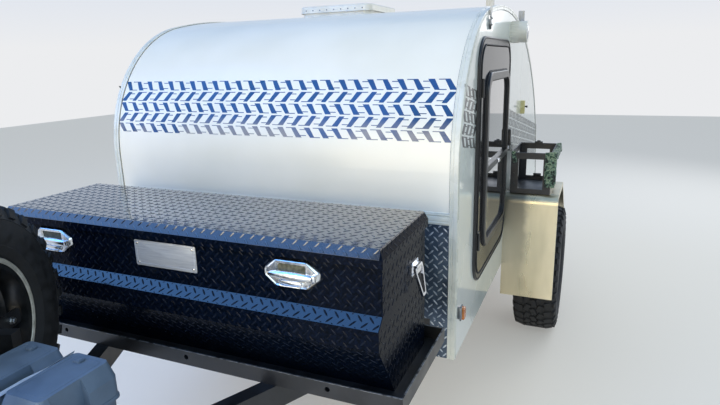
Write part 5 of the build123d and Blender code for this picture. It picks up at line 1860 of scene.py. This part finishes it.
class TRAILER_OT_stage(bpy.types.Operator):
    """Lay the floor, light the object softly and set the camera"""

    bl_idname = "trailer.stage"
    bl_label = "Stage"

    def execute(self, context):
        settings = context.scene.trailer_stage
        scene = context.scene
        floor = bmesh.new()
        bmesh.ops.create_grid(floor, x_segments=1, y_segments=1, size=14)
        mesh = bpy.data.meshes.new("studio_floor")
        floor.to_mesh(mesh)
        floor.free()
        ground = bpy.data.objects.new("studio_floor", mesh)
        scene.collection.objects.link(ground)
        matte = plain("studio_paper", "#D2D1CF", Roughness=0.9)
        paper = matte.node_tree
        shader = paper.nodes["Principled BSDF"]
        glow = add_node(paper, "ShaderNodeMath", {1: 0.3}, {0: background_rays(paper)}, operation="MULTIPLY")
        shader.inputs["Emission Color"].default_value = linear("#ECEBE8")
        paper.links.new(glow.outputs["Value"], shader.inputs["Emission Strength"])
        mesh.materials.append(matte)

        world = bpy.data.worlds.new("studio")
        scene.world = world
        world.use_nodes = True
        tree = world.node_tree
        sky = tree.nodes["Background"]
        sky.inputs["Color"].default_value = linear("#D6E1E8")
        sky.inputs["Strength"].default_value = 0.58
        place = add_node(tree, "ShaderNodeTexCoord").outputs["Generated"]
        split = add_node(tree, "ShaderNodeSeparateXYZ", links={"Vector": place})
        rise = add_node(
            tree,
            "ShaderNodeMapRange",
            {"From Min": 0.03, "From Max": 0.55},
            {"Value": split.outputs["Z"]},
        )
        tone = add_node(
            tree,
            "ShaderNodeMix",
            {6: linear("#ECEDEF"), 7: linear("#8FB9EC")},
            {0: rise},
            data_type="RGBA",
        )
        seen = add_node(tree, "ShaderNodeBackground", {"Strength": 1.0}, {"Color": tone.outputs[2]})
        shown = add_node(
            tree,
            "ShaderNodeMixShader",
            links={0: background_rays(tree), 1: sky, 2: seen},
        )
        tree.links.new(shown.outputs[0], tree.nodes["World Output"].inputs["Surface"])

        area_light("key", (3.6, -4.2, 4.2), (0.2, -0.2, 0.9), 3.2, 62, (0.84, 1, 0.98))
        area_light("front", (-0.6, -6.0, 1.5), (0, -0.6, 1.2), 3.4, 160, (1, 0.87, 0.62))
        area_light("sky", (-2.4, -3.6, 4.0), (0.1, -1.1, 0.9), 4.4, 145, (0.10, 0.36, 1))
        area_light("top", (0.0, 1.2, 5.4), (0, 0.7, 0.8), 4.2, 16, (1, 0.97, 0.92))
        area_light("back", (2.8, 5.2, 3.4), (0, 1.0, 0.9), 3.2, 66)

        camera_data = bpy.data.cameras.new("camera")
        camera_data.sensor_fit = "HORIZONTAL"
        camera_data.sensor_width = 36
        camera_data.lens = settings.lens
        camera_data.clip_start = 0.05
        camera = bpy.data.objects.new("camera", camera_data)
        scene.collection.objects.link(camera)
        yaw, pitch, roll = settings.yaw, settings.pitch, settings.roll
        forward = Vector((-sin(yaw) * cos(pitch), cos(yaw) * cos(pitch), -sin(pitch)))
        level = Vector((cos(yaw), sin(yaw), 0))
        upright = level.cross(forward)
        right = level * cos(roll) + upright * sin(roll)
        up = upright * cos(roll) - level * sin(roll)
        turn = Matrix((right, up, -forward)).transposed().to_4x4()
        camera.matrix_world = Matrix.Translation(settings.camera_place) @ turn
        scene.camera = camera
        scene.view_settings.view_transform = "Standard"
        return {"FINISHED"}


class TRAILER_PT_panel(bpy.types.Panel):
    """Settings and steps of the trailer"""

    bl_idname = "TRAILER_PT_panel"
    bl_label = "Teardrop trailer"
    bl_space_type = "VIEW_3D"
    bl_region_type = "UI"
    bl_category = "Trailer"

    def draw(self, context):
        for name, group in SETTINGS.items():
            box = self.layout.box()
            for key in group.__annotations__:
                box.prop(getattr(context.scene, name), key)
        for step in STEPS:
            self.layout.operator(step.bl_idname)


STEPS = (
    TRAILER_OT_node_finishes,
    TRAILER_OT_tread_plate,
    TRAILER_OT_tread_bands,
    TRAILER_OT_edge_trim,
    TRAILER_OT_wheels,
    TRAILER_OT_tool_box_fittings,
    TRAILER_OT_door_fittings,
    TRAILER_OT_lamps,
    TRAILER_OT_roof_vent,
    TRAILER_OT_batteries,
    TRAILER_OT_rack_fittings,
    TRAILER_OT_running_gear,
    TRAILER_OT_hatch_fittings,
    TRAILER_OT_stage,
)


def register():
    for group in SETTINGS.values():
        bpy.utils.register_class(group)
    for step in STEPS:
        bpy.utils.register_class(step)
    bpy.utils.register_class(TRAILER_PT_panel)
    for name, group in SETTINGS.items():
        setattr(bpy.types.Scene, name, PointerProperty(type=group))


def unregister():
    for name in SETTINGS:
        delattr(bpy.types.Scene, name)
    bpy.utils.unregister_class(TRAILER_PT_panel)
    for step in reversed(STEPS):
        bpy.utils.unregister_class(step)
    for group in reversed(SETTINGS.values()):
        bpy.utils.unregister_class(group)


def main():
    """Build everything round the frame"""
    register()
    for step in STEPS:
        category, name = step.bl_idname.split(".")
        getattr(getattr(bpy.ops, category), name)()


if __name__ == "__main__":
    main()
